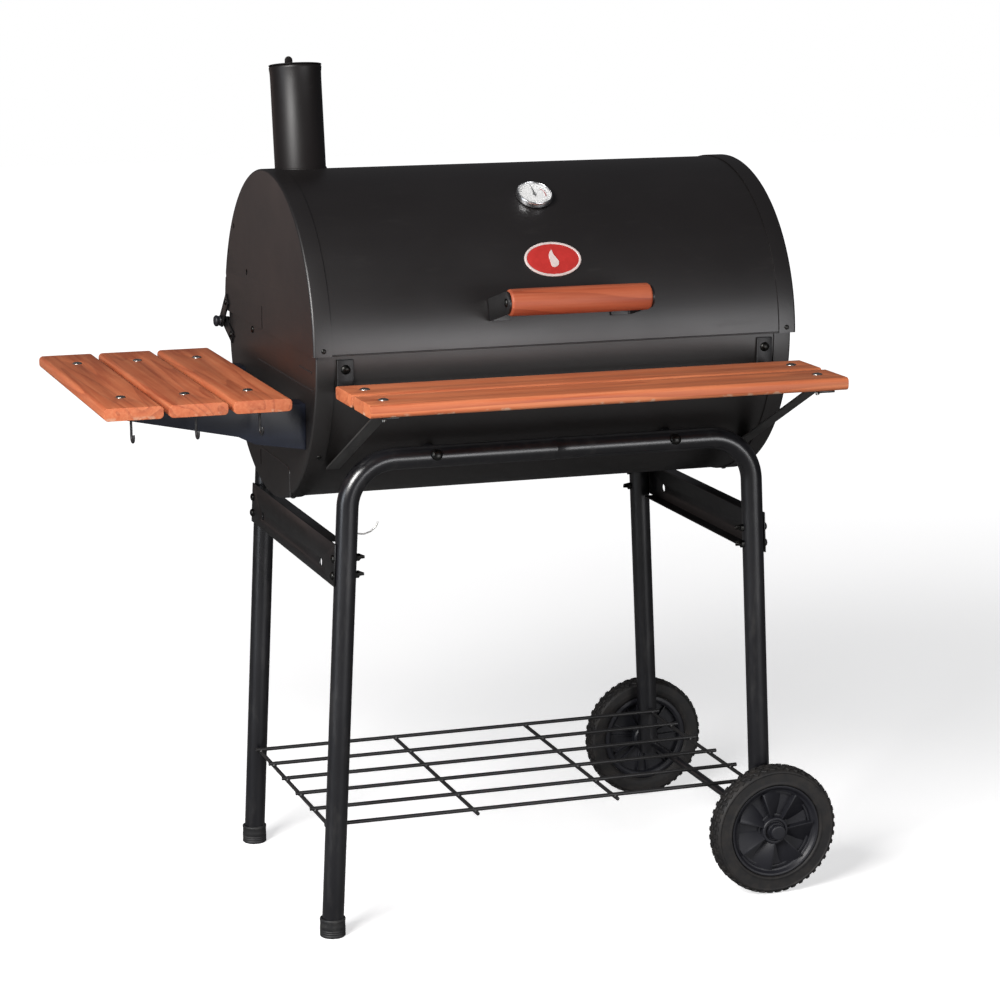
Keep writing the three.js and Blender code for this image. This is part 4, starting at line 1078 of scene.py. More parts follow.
rim_angle = math.asin((rim_z - axis_z) / drum_height)
drum_angles = (rim_angle, -math.pi - rim_angle)
under_flange = sheet + 0.0003
drum_reach_in = (barrel_high.x - barrel_low.x) / 2
mount_piece(
    rolled_sheet(
        "drum_rolled_sheet", drum_depth - under_flange, drum_height - under_flange, drum_reach_in,
        drum_angles, drum_paint,
    ),
    "cart", "drum_paint", "drum_shell",
)

slot_y, slot_z = on_end(66, -206)
left_face = barrel.x - drum_reach
left_slot = ((left_face - 0.01, slot_y - 0.002, slot_z), (left_face + 0.01, slot_y + 0.002, slot_z + 0.024))
small_y, small_z = on_end(218, -33)
small_slot = (
    (left_face - 0.01, small_y - 0.005, small_z), (left_face + 0.01, small_y + 0.005, small_z + 0.004)
)
knockout = [
    on_end(58, -178), on_end(0, -178.5), on_end(-79, -179), on_end(-96, -181), on_end(-101, -187),
    on_end(-101, -223),
]
fold = [on_end(y, -44.5) for y in (72, 0, -80, -160, -238)]
short_fold = [on_end(y, -19) for y in (-164, -190, -231)]
pressed_end(
    "drum_end_left_pressing", -1, drum_depth, drum_height, drum_reach, drum_angles, drum_paint,
    [], {"slots": [left_slot, small_slot], "lines": [rounded(knockout, 0.006), fold, short_fold]},
    "drum_end_left", "cart", "drum_paint",
)

vent_low, vent_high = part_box("vent_shutter")
vent_y, vent_z = (vent_low.y + vent_high.y) / 2, vent_high.z - 0.038
right_face = barrel.x + drum_reach
air_ports = []
for i in range(3):
    angle = 2 * math.pi * i / 3
    air_ports.append(
        (
            (right_face, vent_y + 0.022 * math.cos(angle), vent_z + 0.022 * math.sin(angle)), (1, 0, 0),
            0.009,
        )
    )
right_knockout = [on_end(-58, -178), on_end(20, -179), on_end(79, -179), on_end(101, -187), on_end(101, -223)]
pressed_end(
    "drum_end_right_pressing", 1, drum_depth, drum_height, drum_reach, drum_angles, drum_paint,
    air_ports, {"slots": [], "lines": [fold, rounded(right_knockout, 0.006)]},
    "drum_end_right", "cart", "drum_paint",
)
eased("vent_shutter_disc", "vent_shutter", 0.0005, "shutter", "drum_paint", drum_paint)
rivet_form = dome_head(0.0048, 0.0022)
mount_piece(
    fasteners("vent_rivet", rivet_form, [((vent_high.x - 0.0125, vent_y, vent_z), (1, 0, 0))], zinc),
    "shutter", "zinc",
)

# Small screws along the flanges hold the ends to the sheet.
screw_form = dome_head(0.0036, 0.0018)
flange_screws = []
for side in (-1, 1):
    x = barrel.x + side * (drum_reach - end_flange + 0.009)
    for angle in (-38, -78, -118, -158):
        turn = math.radians(angle)
        out = Vector((0, -math.cos(turn), math.sin(turn)))
        point = Vector(
            (
                x, barrel.y - (drum_depth - 0.0001) * math.cos(turn),
                axis_z + (drum_height - 0.0001) * math.sin(turn),
            )
        )
        flange_screws.append((point, out))
mount_piece(fasteners("drum_flange_screws", screw_form, flange_screws, screw_black), "cart", "drum_paint")


# ---------------------------------------------------------------- grates inside the drum
# Four cast-iron cooking grates lie side by side on ledges. The charcoal grate below
# hangs by its end straps, and notched ladders at each end set its height.

def iron_finish():
    iron = Finish("seasoned_iron", IOR=1.6)
    here = iron.place()
    cloud = iron.noise(here, 14.0, 5.0, 0.6)
    cast = iron.noise(here, 380.0, 4.0, 0.65)
    rust = iron.between(iron.noise(here, 48.0, 6.0, 0.7), 0.62, 0.8)
    colour = iron.mix(cloud, (0.010, 0.0095, 0.009, 1), (0.028, 0.026, 0.025, 1))
    seasoned = iron.mix(rust * 0.5, colour, (0.060, 0.030, 0.018, 1))
    return iron.surface(
        Base_Color=seasoned, Roughness=cloud * 0.25 + 0.48, Normal=iron.bump(cast, 0.0006, 0.7)
    )


iron = iron_finish()
for i in range(4):
    eased(f"cooking_grate_{i + 1}_casting", f"cooking_grate_{i + 1}", 0.0016, "cart", "cast_iron", iron)
eased("charcoal_grate_casting", "fire_grate", 0.0014, "charcoal_grate", "cast_iron", iron)
for row in ("front", "back"):
    eased(f"grate_ledge_{row}_angle", f"grate_ledge_{row}", 0.0004, "cart", "bracket_paint", bracket_coat)

ladder_notches = 5
for side, label in ((-1, "left"), (1, "right")):
    low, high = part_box(f"grate_ladder_{label}")
    face = high.x if side < 0 else low.x
    notches = []
    for i in range(ladder_notches):
        z = low.z + 0.014 + i * (high.z - low.z - 0.028) / (ladder_notches - 1)
        for y in (barrel.y - 0.018, barrel.y + 0.018):
            notches.append(((face, y, z), (1, 0, 0), 0.0042, 0.004))
    eased(
        f"grate_ladder_{label}_strip", f"grate_ladder_{label}", 0.0003, "cart", "bracket_paint",
        bracket_coat, notches,
    )


# ---------------------------------------------------------------- shelf boards
# Softwood boards with rounded edges, stained cedar red and oiled. Each is fixed with
# zinc carriage bolts, whose domed heads sit a little into the wood.

def cedar_finish(name, along, seed, underside, wear=0.0, light=1.0):
    """Red-stained wood with its grain along one axis. wear bares pale wood along the lower edges. light
    scales every stain colour: above 1 it is painted light, below 1 painted shade.
    """
    wood = Finish(name, IOR=1.45)

    def shade(red, green, blue):
        return min(red * light, 0.9), green * light ** 1.5, blue * light ** 1.4, 1

    stretch_grain = {"X": (0.55, 9.0, 9.0), "Y": (9.0, 0.55, 9.0)}[along]
    stretch_fibre = {"X": (5.0, 190.0, 190.0), "Y": (190.0, 5.0, 190.0)}[along]
    shift = (seed * 1.7, seed * 2.3, seed * 0.9)
    grain_place = wood.place(stretch_grain, shift)
    flow = wood.noise(grain_place, 1.3, 2.0, 0.45, 0.4)
    rings = wood.node("ShaderNodeMath", {"operation": "FRACT"}, {0: flow * 9.0})
    late = wood.between(rings, 0.55, 0.98) * wood.between(rings, 1.0, 0.97)
    fibre = wood.noise(wood.place(stretch_fibre, shift), 1.0, 4.0, 0.6)
    blotch = wood.noise(wood.place((1, 1, 1), shift), 7.0, 5.0, 0.6)
    knot_place = wood.place({"X": (2.2, 9.0, 9.0), "Y": (9.0, 2.2, 9.0)}[along], shift)
    knots = wood.node("ShaderNodeTexVoronoi", {}, {"Vector": knot_place, "Scale": 0.85})
    knot = wood.between(knots, 0.10, 0.03)
    stain = wood.mix(blotch, shade(0.48, 0.105, 0.042), shade(0.70, 0.205, 0.085))
    streaked = wood.mix(late * 0.55, stain, shade(0.30, 0.052, 0.022))
    fibred = wood.mix(wood.between(fibre, 0.42, 0.75) * 0.42, streaked, shade(0.80, 0.33, 0.16))
    pores = wood.mix(wood.between(fibre, 0.36, 0.24) * 0.5, fibred, shade(0.22, 0.045, 0.022))
    colour = wood.mix(knot * 0.8, pores, shade(0.15, 0.032, 0.018))
    if wear:
        spot = wood.node("ShaderNodeTexCoord", {}, {}, "Object")
        height = wood.node("ShaderNodeSeparateXYZ", {}, {"Vector": spot}, "Z")
        edge = wood.between(height, underside + 0.0055, underside + 0.0025)
        chips = wood.between(wood.noise(wood.place((1, 1, 1), shift), 42.0, 3.0, 0.6), 0.56, 0.62)
        colour = wood.mix(edge * chips * wear, colour, (0.74, 0.47, 0.32, 1))
    rough = wood.between(fibre * 0.5 + blotch * 0.5, 0.35, 0.65, 0.42, 0.60)
    relief = fibre * 0.6 + late * 0.4
    return wood.surface(Base_Color=colour, Roughness=rough, Normal=wood.bump(relief, 0.0006, 0.5))


def board(node, along, seed, wear=0.0, sinks=(), light=1.0):
    """A board with bullnosed long edges and softened ends, in the room its CAD solid holds."""
    low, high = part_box(node)
    form = bmesh.new()
    bmesh.ops.create_cube(form, size=1)
    bmesh.ops.scale(form, verts=form.verts, vec=high - low)
    bmesh.ops.translate(form, verts=form.verts, vec=(low + high) / 2)
    axis = "XY".index(along)
    long_edges = [e for e in form.edges if abs((e.verts[0].co - e.verts[1].co).normalized()[axis]) > 0.99]
    bmesh.ops.bevel(form, geom=long_edges, offset=0.0062, segments=7, affect="EDGES", profile=0.5)
    piece = settle(f"{node}_wood", form, cedar_finish(f"cedar_{node}", along, seed, low.z, wear, light), 30)
    for x, y in sinks:
        tool = drill((x, y, high.z), (0, 0, 1), 0.0078, 0.0009)
        cutter = piece.modifiers.new("bolt_sink", "BOOLEAN")
        cutter.operation, cutter.solver, cutter.object = "DIFFERENCE", "EXACT", tool
        piece = baked(piece, [tool])
    ends = piece.modifiers.new("softened_ends", "BEVEL")
    ends.width, ends.segments, ends.limit_method, ends.angle_limit = 0.0013, 3, "ANGLE", math.radians(50)
    ends.use_clamp_overlap = True
    return mount_piece(baked(piece), "cart", "cedar", node)


board_bolts = []
under_bolts = []
gusset_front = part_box("side_shelf_gusset_front")
gusset_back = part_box("side_shelf_gusset_back")
bolt_rows = (gusset_front[0].y + 0.038, gusset_back[1].y - 0.038)
for i in range(3):
    node = f"side_shelf_board_{i + 1}"
    low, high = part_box(node)
    centre_x = (low.x + high.x) / 2
    sinks = [(centre_x, y) for y in bolt_rows]
    board(node, "Y", 3 + i, 0.5, sinks)
    for x, y in sinks:
        board_bolts.append(((x, y, high.z - 0.0006), (0, 0, 1)))
        under_bolts.append(((x, y, gusset_front[1].z - 0.0027), (0, 0, -1)))
arm_left, arm_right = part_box("front_shelf_arm_left"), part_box("front_shelf_arm_right")
arm_places = [(arm_left[0].x + arm_left[1].x) / 2, (arm_right[0].x + arm_right[1].x) / 2]
for i in range(2):
    node = f"front_shelf_board_{i + 1}"
    low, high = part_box(node)
    centre_y = (low.y + high.y) / 2
    sinks = [(x, centre_y) for x in arm_places]
    # The front boards' stain is painted a tenth lighter than the side boards: painted light.
    board(node, "X", 11 + i, 0.95, sinks, 1.1)
    for x, y in sinks:
        board_bolts.append(((x, y, high.z - 0.0006), (0, 0, 1)))
        under_bolts.append(((x, y, low.z - 0.0034), (0, 0, -1)))
head = dome_head(0.0074, 0.0030)
mount_piece(fasteners("board_bolt_heads", head, board_bolts, zinc), "cart", "zinc")
mount_piece(fasteners("board_nuts", hex_nut(0.010, 0.0045), under_bolts, zinc), "cart", "zinc")


# ---------------------------------------------------------------- shelf brackets
# Folded steel gussets carry the side shelf from the end of the drum. Flat bent arms,
# with a strut under each, carry the front shelf.

# The gussets take the black bracket paint tinted blue: a painted bluish sheen.
gusset_coat_painted_blue_sheen = bracket_finish("gusset_powder_coat_painted_blue_sheen", (0.008, 0.011, 0.022), 0.42)
# The struts take the black bracket paint made several times lighter: painted light.
strut_coat_painted_lit = bracket_finish("strut_powder_coat_painted_lit", (0.050, 0.048, 0.046), 0.40)
for row in ("front", "back"):
    node = f"side_shelf_gusset_{row}"
    eased(f"{node}_folded", node, 0.0007, "cart", "bracket_paint", gusset_coat_painted_blue_sheen)
for side in ("left", "right"):
    eased(
        f"front_shelf_arm_{side}_bar", f"front_shelf_arm_{side}", 0.0006, "cart", "bracket_paint",
        bracket_coat,
    )
    eased(
        f"front_shelf_strut_{side}_bar", f"front_shelf_strut_{side}", 0.0006, "cart", "bracket_paint",
        strut_coat_painted_lit,
    )

tab_head = dome_head(0.0070, 0.0042)
tab_bolts = []
for x in arm_places:
    tab_bolts.append(((x, arm_left[1].y - 0.0032, seam - 0.020), (0, -1, 0)))
for x in arm_places:
    turn = math.radians(-44.87)
    out = Vector((0, -math.cos(turn), math.sin(turn)))
    foot = Vector((x, barrel.y - drum_depth * math.cos(turn), axis_z + drum_height * math.sin(turn)))
    tab_bolts.append((foot + Vector((0, 0, 0.012)), out))
for y in (gusset_front[0].y + 0.024, gusset_back[1].y - 0.024):
    for drop in (0.022, 0.050):
        tab_bolts.append(((left_face - 0.0028, y, gusset_front[1].z - drop), (-1, 0, 0)))
mount_piece(fasteners("bracket_bolt_heads", tab_head, tab_bolts, screw_black), "cart", "bracket_paint")


# ---------------------------------------------------------------- tool hooks
# Screw hooks of black wire, turned up into the underside of each side-shelf board
# near its front end.

hook_lines = []
hook_collars = []
for i in range(3):
    low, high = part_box(f"tool_hook_{i + 1}")
    x = (low.x + high.x) / 2
    root = high.y - 0.0019
    bend = 0.0078
    drop = low.z + 0.0022 + bend
    run = [(x, root, high.z + 0.004), (x, root, high.z - 0.002), (x, root + 0.0008, high.z - 0.008)]
    run += [(x, root - 0.0006, high.z - 0.016), (x, root, drop + 0.003)]
    for k in range(15):
        angle = math.radians(205) * k / 14
        run.append((x, root - bend * (1 - math.cos(angle)), drop - bend * math.sin(angle)))
    hook_lines.append(rounded(run, 0.004, 4))
    hook_collars.append(((x, root, high.z - 0.0012), (0, 0, 1)))
hooks = cook(
    lines_object(hook_lines), tube_run, "tool_hook_wires", Radius=0.0019, Sides=16, Finish=rack_black
)
mount_piece(hooks, "cart", "rack_wire", "tool_hook_1", "tool_hook_2", "tool_hook_3")
collar = turned(
    "collar_form", [(0, 0.0012), (0.0042, 0.0012), (0.0042, 0), (0.0024, -0.001), (0, -0.001)],
    Matrix.Identity(4), rack_black, 20,
)
mount_piece(fasteners("tool_hook_collars", collar, hook_collars, rack_black), "cart", "rack_wire")


# ---------------------------------------------------------------- lid
# The upper half of the barrel, made like the drum and a little larger all round, so
# that it shuts down over the drum's rim.

lid_paint = stove_finish("lid_stove_paint", (0.0110, 0.0090, 0.0092, 1), 0.40, 0.10)
lid_low, lid_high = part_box("lid_end_left")
lid_height = lid_high.z - axis_z
lid_angle = math.asin((seam - axis_z) / lid_height)
lid_depth = (lid_high.y - lid_low.y) / 2 / math.cos(lid_angle)
lid_reach = barrel.x - lid_low.x
lid_angles = (lid_angle, math.pi - lid_angle)
lean = math.radians(8.6)
stack_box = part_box("chimney")
stack_radius = 0.038
stack_x = (stack_box[0].x + stack_box[1].x) / 2
stack_along = Vector((0, math.sin(lean), math.cos(lean)))
stack_place = Matrix.Translation((stack_x, barrel.y, axis_z)) @ Matrix.Rotation(-lean, 4, "X")

lid_sheet = rolled_sheet(
    "lid_rolled_sheet", lid_depth - under_flange, lid_height - under_flange, lid_reach - under_flange,
    lid_angles, lid_paint,
)
smoke_hole = drill(stack_place @ Vector((0, 0, lid_height)), stack_along, stack_radius - 0.0022, 0.03)
cutter = lid_sheet.modifiers.new("smoke_hole", "BOOLEAN")
cutter.operation, cutter.solver, cutter.object = "DIFFERENCE", "EXACT", smoke_hole
mount_piece(baked(lid_sheet, [smoke_hole]), "lid", "lid_paint", "lid_shell")


def lid_place(degrees, across=0.0, out=0.0):
    """A place on the lid's front, with local Z straight out of it."""
    turn = math.radians(degrees)
    depth, height = lid_depth - under_flange, lid_height - under_flange
    normal = math.atan2(math.sin(turn) / height, math.cos(turn) / depth)
    point = Vector((barrel.x + across, barrel.y - depth * math.cos(turn), axis_z + height * math.sin(turn)))
    place = Matrix.Translation(point) @ Matrix.Rotation(math.pi / 2 - normal, 4, "X")
    return place @ Matrix.Translation((0, 0, out))


spit_y = barrel.y + 0.027
for side, label in ((-1, "left"), (1, "right")):
    face = barrel.x + side * lid_reach
    spit = ((face - 0.03, spit_y - 0.002, seam - 0.005), (face + 0.03, spit_y + 0.002, seam + 0.035))
    holes = []
    for y, z, radius in ((190, 144, 0.0042), (229, 101, 0.0036), (249, 61, 0.0036), (115, 82, 0.0050)):
        place = on_end(y, z)
        holes.append(((face, *place), (1, 0, 0), radius))
    pressed_end(
        f"lid_end_{label}_pressing", side, lid_depth, lid_height, lid_reach, lid_angles, lid_paint,
        holes, {"slots": [spit], "lines": []}, f"lid_end_{label}", "lid", "lid_paint",
    )

lid_screw = dome_head(0.0036, 0.0018)
lid_screws = []
for side in (-1, 1):
    x = side * (lid_reach - end_flange + 0.012)
    for degrees in (3.5, 176.5):
        place = lid_place(degrees, x, under_flange)
        lid_screws.append((place.translation, place.to_3x3() @ Vector((0, 0, 1))))
mount_piece(fasteners("lid_flange_screws", lid_screw, lid_screws, screw_black), "lid", "lid_paint")

# A hemmed lip runs along the lid's lower front and back edges.
for degrees, row in ((lid_angle, "front"), (math.pi - lid_angle, "back")):
    y, z = oval(lid_depth - under_flange, lid_height - under_flange, degrees, degrees, 1)[0]
    reach = lid_reach - end_flange - 0.001
    lip_line = [
        (barrel.x - reach, y, z + 0.0012), (barrel.x, y, z + 0.0012), (barrel.x + reach, y, z + 0.0012)
    ]
    lip = cook(
        lines_object([lip_line]), tube_run, f"lid_hem_{row}", Radius=0.0012, Sides=14, Finish=lid_paint
    )
    mount_piece(lip, "lid", "lid_paint")


# ---------------------------------------------------------------- hinges
# Steel lugs bolted to the ends meet on a shoulder bolt at each back corner, and a
# black knob is screwed on each bolt's outer end.

for side, label in ((-1, "left"), (1, "right")):
    eased(
        f"lid_hinge_lug_{label}_strap", f"lid_hinge_lug_{label}", 0.0006, "lid", "bracket_paint",
        bracket_coat,
    )
    eased(
        f"drum_hinge_lug_{label}_strap", f"drum_hinge_lug_{label}", 0.0006, "cart", "bracket_paint",
        bracket_coat,
    )
    low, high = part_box(f"hinge_bolt_{label}")
    middle = (low + high) / 2
    outer = high.x if side > 0 else low.x
    knob_place = axis_place((outer - side * 0.006, middle.y, middle.z), (side, 0, 0))
    shank = [
        (0, -0.020), (0.0036, -0.020), (0.0036, -0.0012), (0.0060, -0.0012), (0.0060, 0.0006), (0, 0.0006)
    ]
    mount_piece(
        turned(f"hinge_bolt_{label}_shank", shank, knob_place, zinc, 28, 60), "cart", "zinc",
        f"hinge_bolt_{label}",
    )
    knob = [
        (0, 0.0002), (0.0072, 0.0002), (0.0084, 0.0014), (0.0074, 0.0030), (0.0080, 0.0044),
        (0.0090, 0.0062), (0.0086, 0.0086), (0.0066, 0.0104), (0.0036, 0.0111), (0, 0.0112),
    ]
    mount_piece(
        turned(f"hinge_knob_{label}", knob, knob_place, wheel_plastic, 32, 60), "cart", "bracket_paint"
    )
    inner = low.x if side > 0 else high.x
    nut_inner = turned(
        f"hinge_nut_{label}",
        [(0, 0), (0.0066, 0), (0.0072, 0.0007), (0.0072, 0.0045), (0.0066, 0.0052), (0, 0.0052)],
        axis_place((inner, middle.y, middle.z), (side, 0, 0)), zinc, 6, 30,
    )
    mount_piece(nut_inner, "cart", "zinc")
hinge_y = (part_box("hinge_bolt_left")[0].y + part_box("hinge_bolt_left")[1].y) / 2
hinge_z = (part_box("hinge_bolt_left")[0].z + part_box("hinge_bolt_left")[1].z) / 2
for body, rise, setback, name in (
    ("lid", 0.034, 0.034, "lid_lug_bolts"), ("cart", -0.016, 0.044, "drum_lug_bolts")
):
    lug_places = []
    for side in (-1, 1):
        reach = (lid_reach if body == "lid" else drum_reach) + 0.0028
        lug_places.append(((barrel.x + side * reach, hinge_y - setback, hinge_z + rise), (side, 0, 0)))
    if body == "cart":
        lug_places.append(((left_face, *on_end(102.7, -4)), (-1, 0, 0)))
    mount_piece(fasteners(name, dome_head(0.0052, 0.0030), lug_places, screw_black), body, "bracket_paint")


# ---------------------------------------------------------------- chimney and damper cap
# A rolled tube, cut at its foot to the curve of the lid and welded on, with a rolled
# rim. A flat cap swings on one rivet, pushed by the tab turned up at its back edge.

chimney_length = 0.397


def foot_height(y):
    """How far along the leaning stack a line at that y in it meets the lid."""
    depth, height = lid_depth - under_flange, lid_height - under_flange
    across = y * math.cos(lean)
    rise = -y * math.sin(lean)
    step_y, step_z = math.sin(lean), math.cos(lean)
    a = (step_y / depth) ** 2 + (step_z / height) ** 2
    b = 2 * (across * step_y / depth ** 2 + rise * step_z / height ** 2)
    c = (across / depth) ** 2 + (rise / height) ** 2 - 1
    return (-b + math.sqrt(b * b - 4 * a * c)) / (2 * a)


def stack_tube(name, radii):
    """A tube along the stack: (radius, height, lift) rings, where height None is the lid's surface."""
    turns = 96
    form = bmesh.new()
    rings = []
    for radius, height, lift in radii:
        ring = []
        for i in range(turns):
            angle = 2 * math.pi * i / turns
            x, y = radius * math.cos(angle), radius * math.sin(angle)
            z = foot_height(y) + lift if height is None else height
            ring.append(form.verts.new(stack_place @ Vector((x, y, z))))
        rings.append(ring)
    for lower, upper in zip(rings, rings[1:] + rings[:1]):
        for i in range(turns):
            k = (i + 1) % turns
            form.faces.new((lower[i], lower[k], upper[k], upper[i]))
    return settle(name, form, chimney_paint, 50)


chimney_paint = stove_finish("chimney_stove_paint", (0.0120, 0.0095, 0.0095, 1), 0.44, 0.12, 1.42)
r, top = stack_radius, chimney_length
stack = stack_tube("chimney_tube", [
    (r + 0.0016, None, -0.0008), (r + 0.0010, None, 0.0018), (r, None, 0.0030), (r, top - 0.022, 0),
    (r + 0.0002, top - 0.010, 0), (r + 0.0009, top - 0.0045, 0), (r + 0.0011, top - 0.0022, 0), (
        r + 0.0006, top - 0.0006, 0
    ),
    (r - 0.0002, top - 0.0002, 0), (r - 0.0010, top - 0.0010, 0), (r - 0.0013, top - 0.004, 0), (
        r - 0.0014, top - 0.022, 0
    ),
    (r - 0.0014, None, 0.0020), (r - 0.0014, None, -0.0008),
])
mount_piece(stack, "lid", "lid_paint", "chimney")
rivet_lug = [(0.022, 0, top - 0.0020), (0.030, 0, top - 0.0020), (0.0366, 0, top - 0.0020)]
lug_line = [stack_place @ Vector(p) for p in rivet_lug]
lug_tube = cook(
    lines_object([lug_line]), tube_run, "damper_rivet_lug", Radius=0.0016, Sides=12, Finish=chimney_paint
)
mount_piece(lug_tube, "lid", "lid_paint")

cap_edge = stack_radius + 0.0013
cap_base = top + 0.0004
cap_profile = [
    (0, cap_base), (cap_edge - 0.0014, cap_base), (cap_edge - 0.0002, cap_base + 0.0004),
    (cap_edge, cap_base + 0.0011), (cap_edge - 0.0004, cap_base + 0.0019),
    (cap_edge - 0.0022, cap_base + 0.0018), (cap_edge - 0.0050, cap_base + 0.0021),
    (0, cap_base + 0.0025),
]
mount_piece(
    turned("damper_cap_disc", cap_profile, stack_place, chimney_paint, 72, 40), "damper", "lid_paint",
    "damper_cap",
)
tab = bmesh.new()
tab_half, tab_height = 0.006, 0.0165
outline = [(-tab_half, 0)]
for i in range(13):
    angle = math.pi * i / 12
    outline.append((-tab_half * math.cos(angle), tab_height - tab_half + tab_half * math.sin(angle)))
outline.append((tab_half, 0))
near = [tab.verts.new(stack_place @ Vector((x, cap_edge - 0.0052, cap_base + 0.001 + z))) for x, z in outline]
far = [tab.verts.new(stack_place @ Vector((x, cap_edge - 0.0036, cap_base + 0.001 + z))) for x, z in outline]
tab.faces.new(near)
tab.faces.new(list(reversed(far)))
for i in range(len(outline)):
    k = (i + 1) % len(outline)
    tab.faces.new((near[i], far[i], far[k], near[k]))
tab_piece = settle("damper_cap_tab", tab, chimney_paint, 40)
soft = tab_piece.modifiers.new("eased_edges", "BEVEL")
soft.width, soft.segments, soft.limit_method = 0.0004, 2, "ANGLE"
mount_piece(baked(tab_piece), "damper", "lid_paint")
rivet = dome_head(0.0046, 0.0030)
rivet_at = stack_place @ Vector((0.022, 0, cap_base + 0.0019))
mount_piece(fasteners("damper_rivet", rivet, [(rivet_at, stack_along)], screw_black), "damper", "lid_paint")


# ---------------------------------------------------------------- heat gauge
# A round dial gauge in a polished steel case, screwed in through the lid with its
# probe inside. The face is silvered, with plain ticks and one red band.

def chrome_finish():
    chrome = Finish("gauge_chrome", Metallic=1.0)
    haze = chrome.noise(chrome.place(), 420.0, 3.0)
    colour = chrome.mix(haze, (0.72, 0.72, 0.73, 1), (0.86, 0.86, 0.87, 1))
    return chrome.surface(Base_Color=colour, Roughness=chrome.between(haze, 0.3, 0.7, 0.22, 0.30))


def dial_finish():
    dial = Finish("gauge_dial", Metallic=0.0)
    here = dial.place()
    brushed = dial.noise(dial.place((1, 60, 60)), 18.0, 3.0)
    colour = dial.mix(brushed, (0.80, 0.80, 0.80, 1), (0.92, 0.92, 0.91, 1))
    grain = dial.noise(here, 900.0, 2.0)
    return dial.surface(Base_Color=colour, Roughness=dial.between(grain, 0.3, 0.7, 0.26, 0.38))


def ink_finish(name, colour):
    ink = Finish(name)
    speck = ink.noise(ink.place(), 1500.0, 2.0)
    dark = tuple(c * 0.8 for c in colour) + (1,)
    return ink.surface(Base_Color=ink.mix(speck, dark, tuple(colour) + (1,)), Roughness=speck * 0.2 + 0.35)


def glass_finish():
    glass = Finish("gauge_glass_clear", IOR=1.45)
    smear = glass.noise(glass.place(), 90.0, 3.0)
    tint = glass.mix(smear, (0.90, 0.93, 0.93, 1), (1, 1, 1, 1))
    return glass.surface(
        Base_Color=tint,
        Roughness=glass.between(smear, 0.4, 0.8, 0.02, 0.08),
        Alpha=glass.between(smear, 0.3, 0.8, 0.06, 0.14),
    )


chrome = chrome_finish()
dial_silver = dial_finish()
ink_black = ink_finish("gauge_ink_black", (0.02, 0.02, 0.022))
ink_red = ink_finish("gauge_ink_red", (0.42, 0.03, 0.02))
gauge_radius = (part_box("gauge_case")[1].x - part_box("gauge_case")[0].x) / 2
gauge = lid_place(57.5)
case_profile = [
    (0, -0.0596), (0.0032, -0.0596), (0.0038, -0.059), (0.0038, -0.002), (0.0085, -0.002), (0.0085, 0.0003),
    (gauge_radius - 0.0016, 0.0003), (gauge_radius - 0.0004, 0.0012), (gauge_radius, 0.003), (
        gauge_radius, 0.0068
    ),
    (gauge_radius - 0.0003, 0.0090), (gauge_radius - 0.0010, 0.0101), (gauge_radius - 0.0018, 0.0102), (
        gauge_radius - 0.0024, 0.0094
    ),
    (gauge_radius - 0.0026, 0.0064), (0, 0.0064),
]
mount_piece(
    turned("gauge_case_chrome", case_profile, gauge, chrome, 96, 50), "lid", "gauge_chrome", "gauge_case"
)
face_profile = [(0, 0.0062), (gauge_radius - 0.0027, 0.0062), (gauge_radius - 0.0027, 0.00655), (0, 0.00655)]
mount_piece(turned("gauge_dial_face", face_profile, gauge, dial_silver, 64), "lid", "gauge_chrome")

tick = bmesh.new()
bmesh.ops.create_cube(tick, size=1)
bmesh.ops.scale(tick, verts=tick.verts, vec=(0.0005, 0.0034, 0.0002))
tick_form = settle("tick_form", tick, ink_black)
ticks = bmesh.new()
for i in range(21):
    angle = math.radians(225 - 270 * i / 20)
    long_tick = i % 5 == 0
    radius = gauge_radius - 0.0062
    place = gauge @ Matrix.Rotation(angle - math.pi / 2, 4, "Z") @ Matrix.Translation((0, radius, 0.0066))
    scale = Matrix.Diagonal((2.0 if long_tick else 1.0, 1.25 if long_tick else 0.8, 1, 1))
    copy = tick_form.data.copy()
    copy.transform(place @ scale)
    ticks.from_mesh(copy)
    bpy.data.meshes.remove(copy)
bpy.data.objects.remove(tick_form)
mount_piece(settle("gauge_dial_ticks", ticks, ink_black), "lid", "gauge_chrome")
band = bmesh.new()
sector(
    band, gauge, (math.radians(45), math.radians(-20)), gauge_radius - 0.0105, gauge_radius - 0.0090,
    (0.00668, 0.00668), 0.0002,
)
mount_piece(settle("gauge_dial_hot_band", band, ink_red), "lid", "gauge_chrome")

pointer = bmesh.new()
level = 0.00715
shape = [
    (-0.0011, -0.0055), (0.0011, -0.0055), (0.0009, 0.006), (0.00025, 0.0185), (-0.00025, 0.0185),
    (-0.0009, 0.006),
]
lower = [pointer.verts.new(gauge @ Vector((x, y, level))) for x, y in shape]
upper = [pointer.verts.new(gauge @ Vector((x, y, level + 0.0004))) for x, y in shape]
pointer.faces.new(list(reversed(lower)))
pointer.faces.new(upper)
for i in range(len(shape)):
    k = (i + 1) % len(shape)
    pointer.faces.new((lower[i], lower[k], upper[k], upper[i]))
mount_piece(settle("gauge_pointer", pointer, ink_black), "needle", "needle_red", "gauge_needle")
hub_profile = [(0, 0.0067), (0.0027, 0.0067), (0.0027, 0.0078), (0.0019, 0.0084), (0, 0.0085)]
mount_piece(turned("gauge_pointer_hub", hub_profile, gauge, ink_black, 24), "needle", "needle_red")
lens_profile = [
    (0, 0.0088), (gauge_radius - 0.0030, 0.0088), (gauge_radius - 0.0027, 0.0091),
    (gauge_radius - 0.0050, 0.0096), (gauge_radius * 0.4, 0.0101), (0, 0.0102),
]
mount_piece(
    turned("gauge_glass_disc", lens_profile, gauge, glass_finish(), 64, 60), "lid", "gauge_glass",
    "gauge_lens",
)


# ---------------------------------------------------------------- badge
# A plain stamped oval plate with a pale raised rim round a red field, and a simple
# relief of a flame. It carries no lettering.

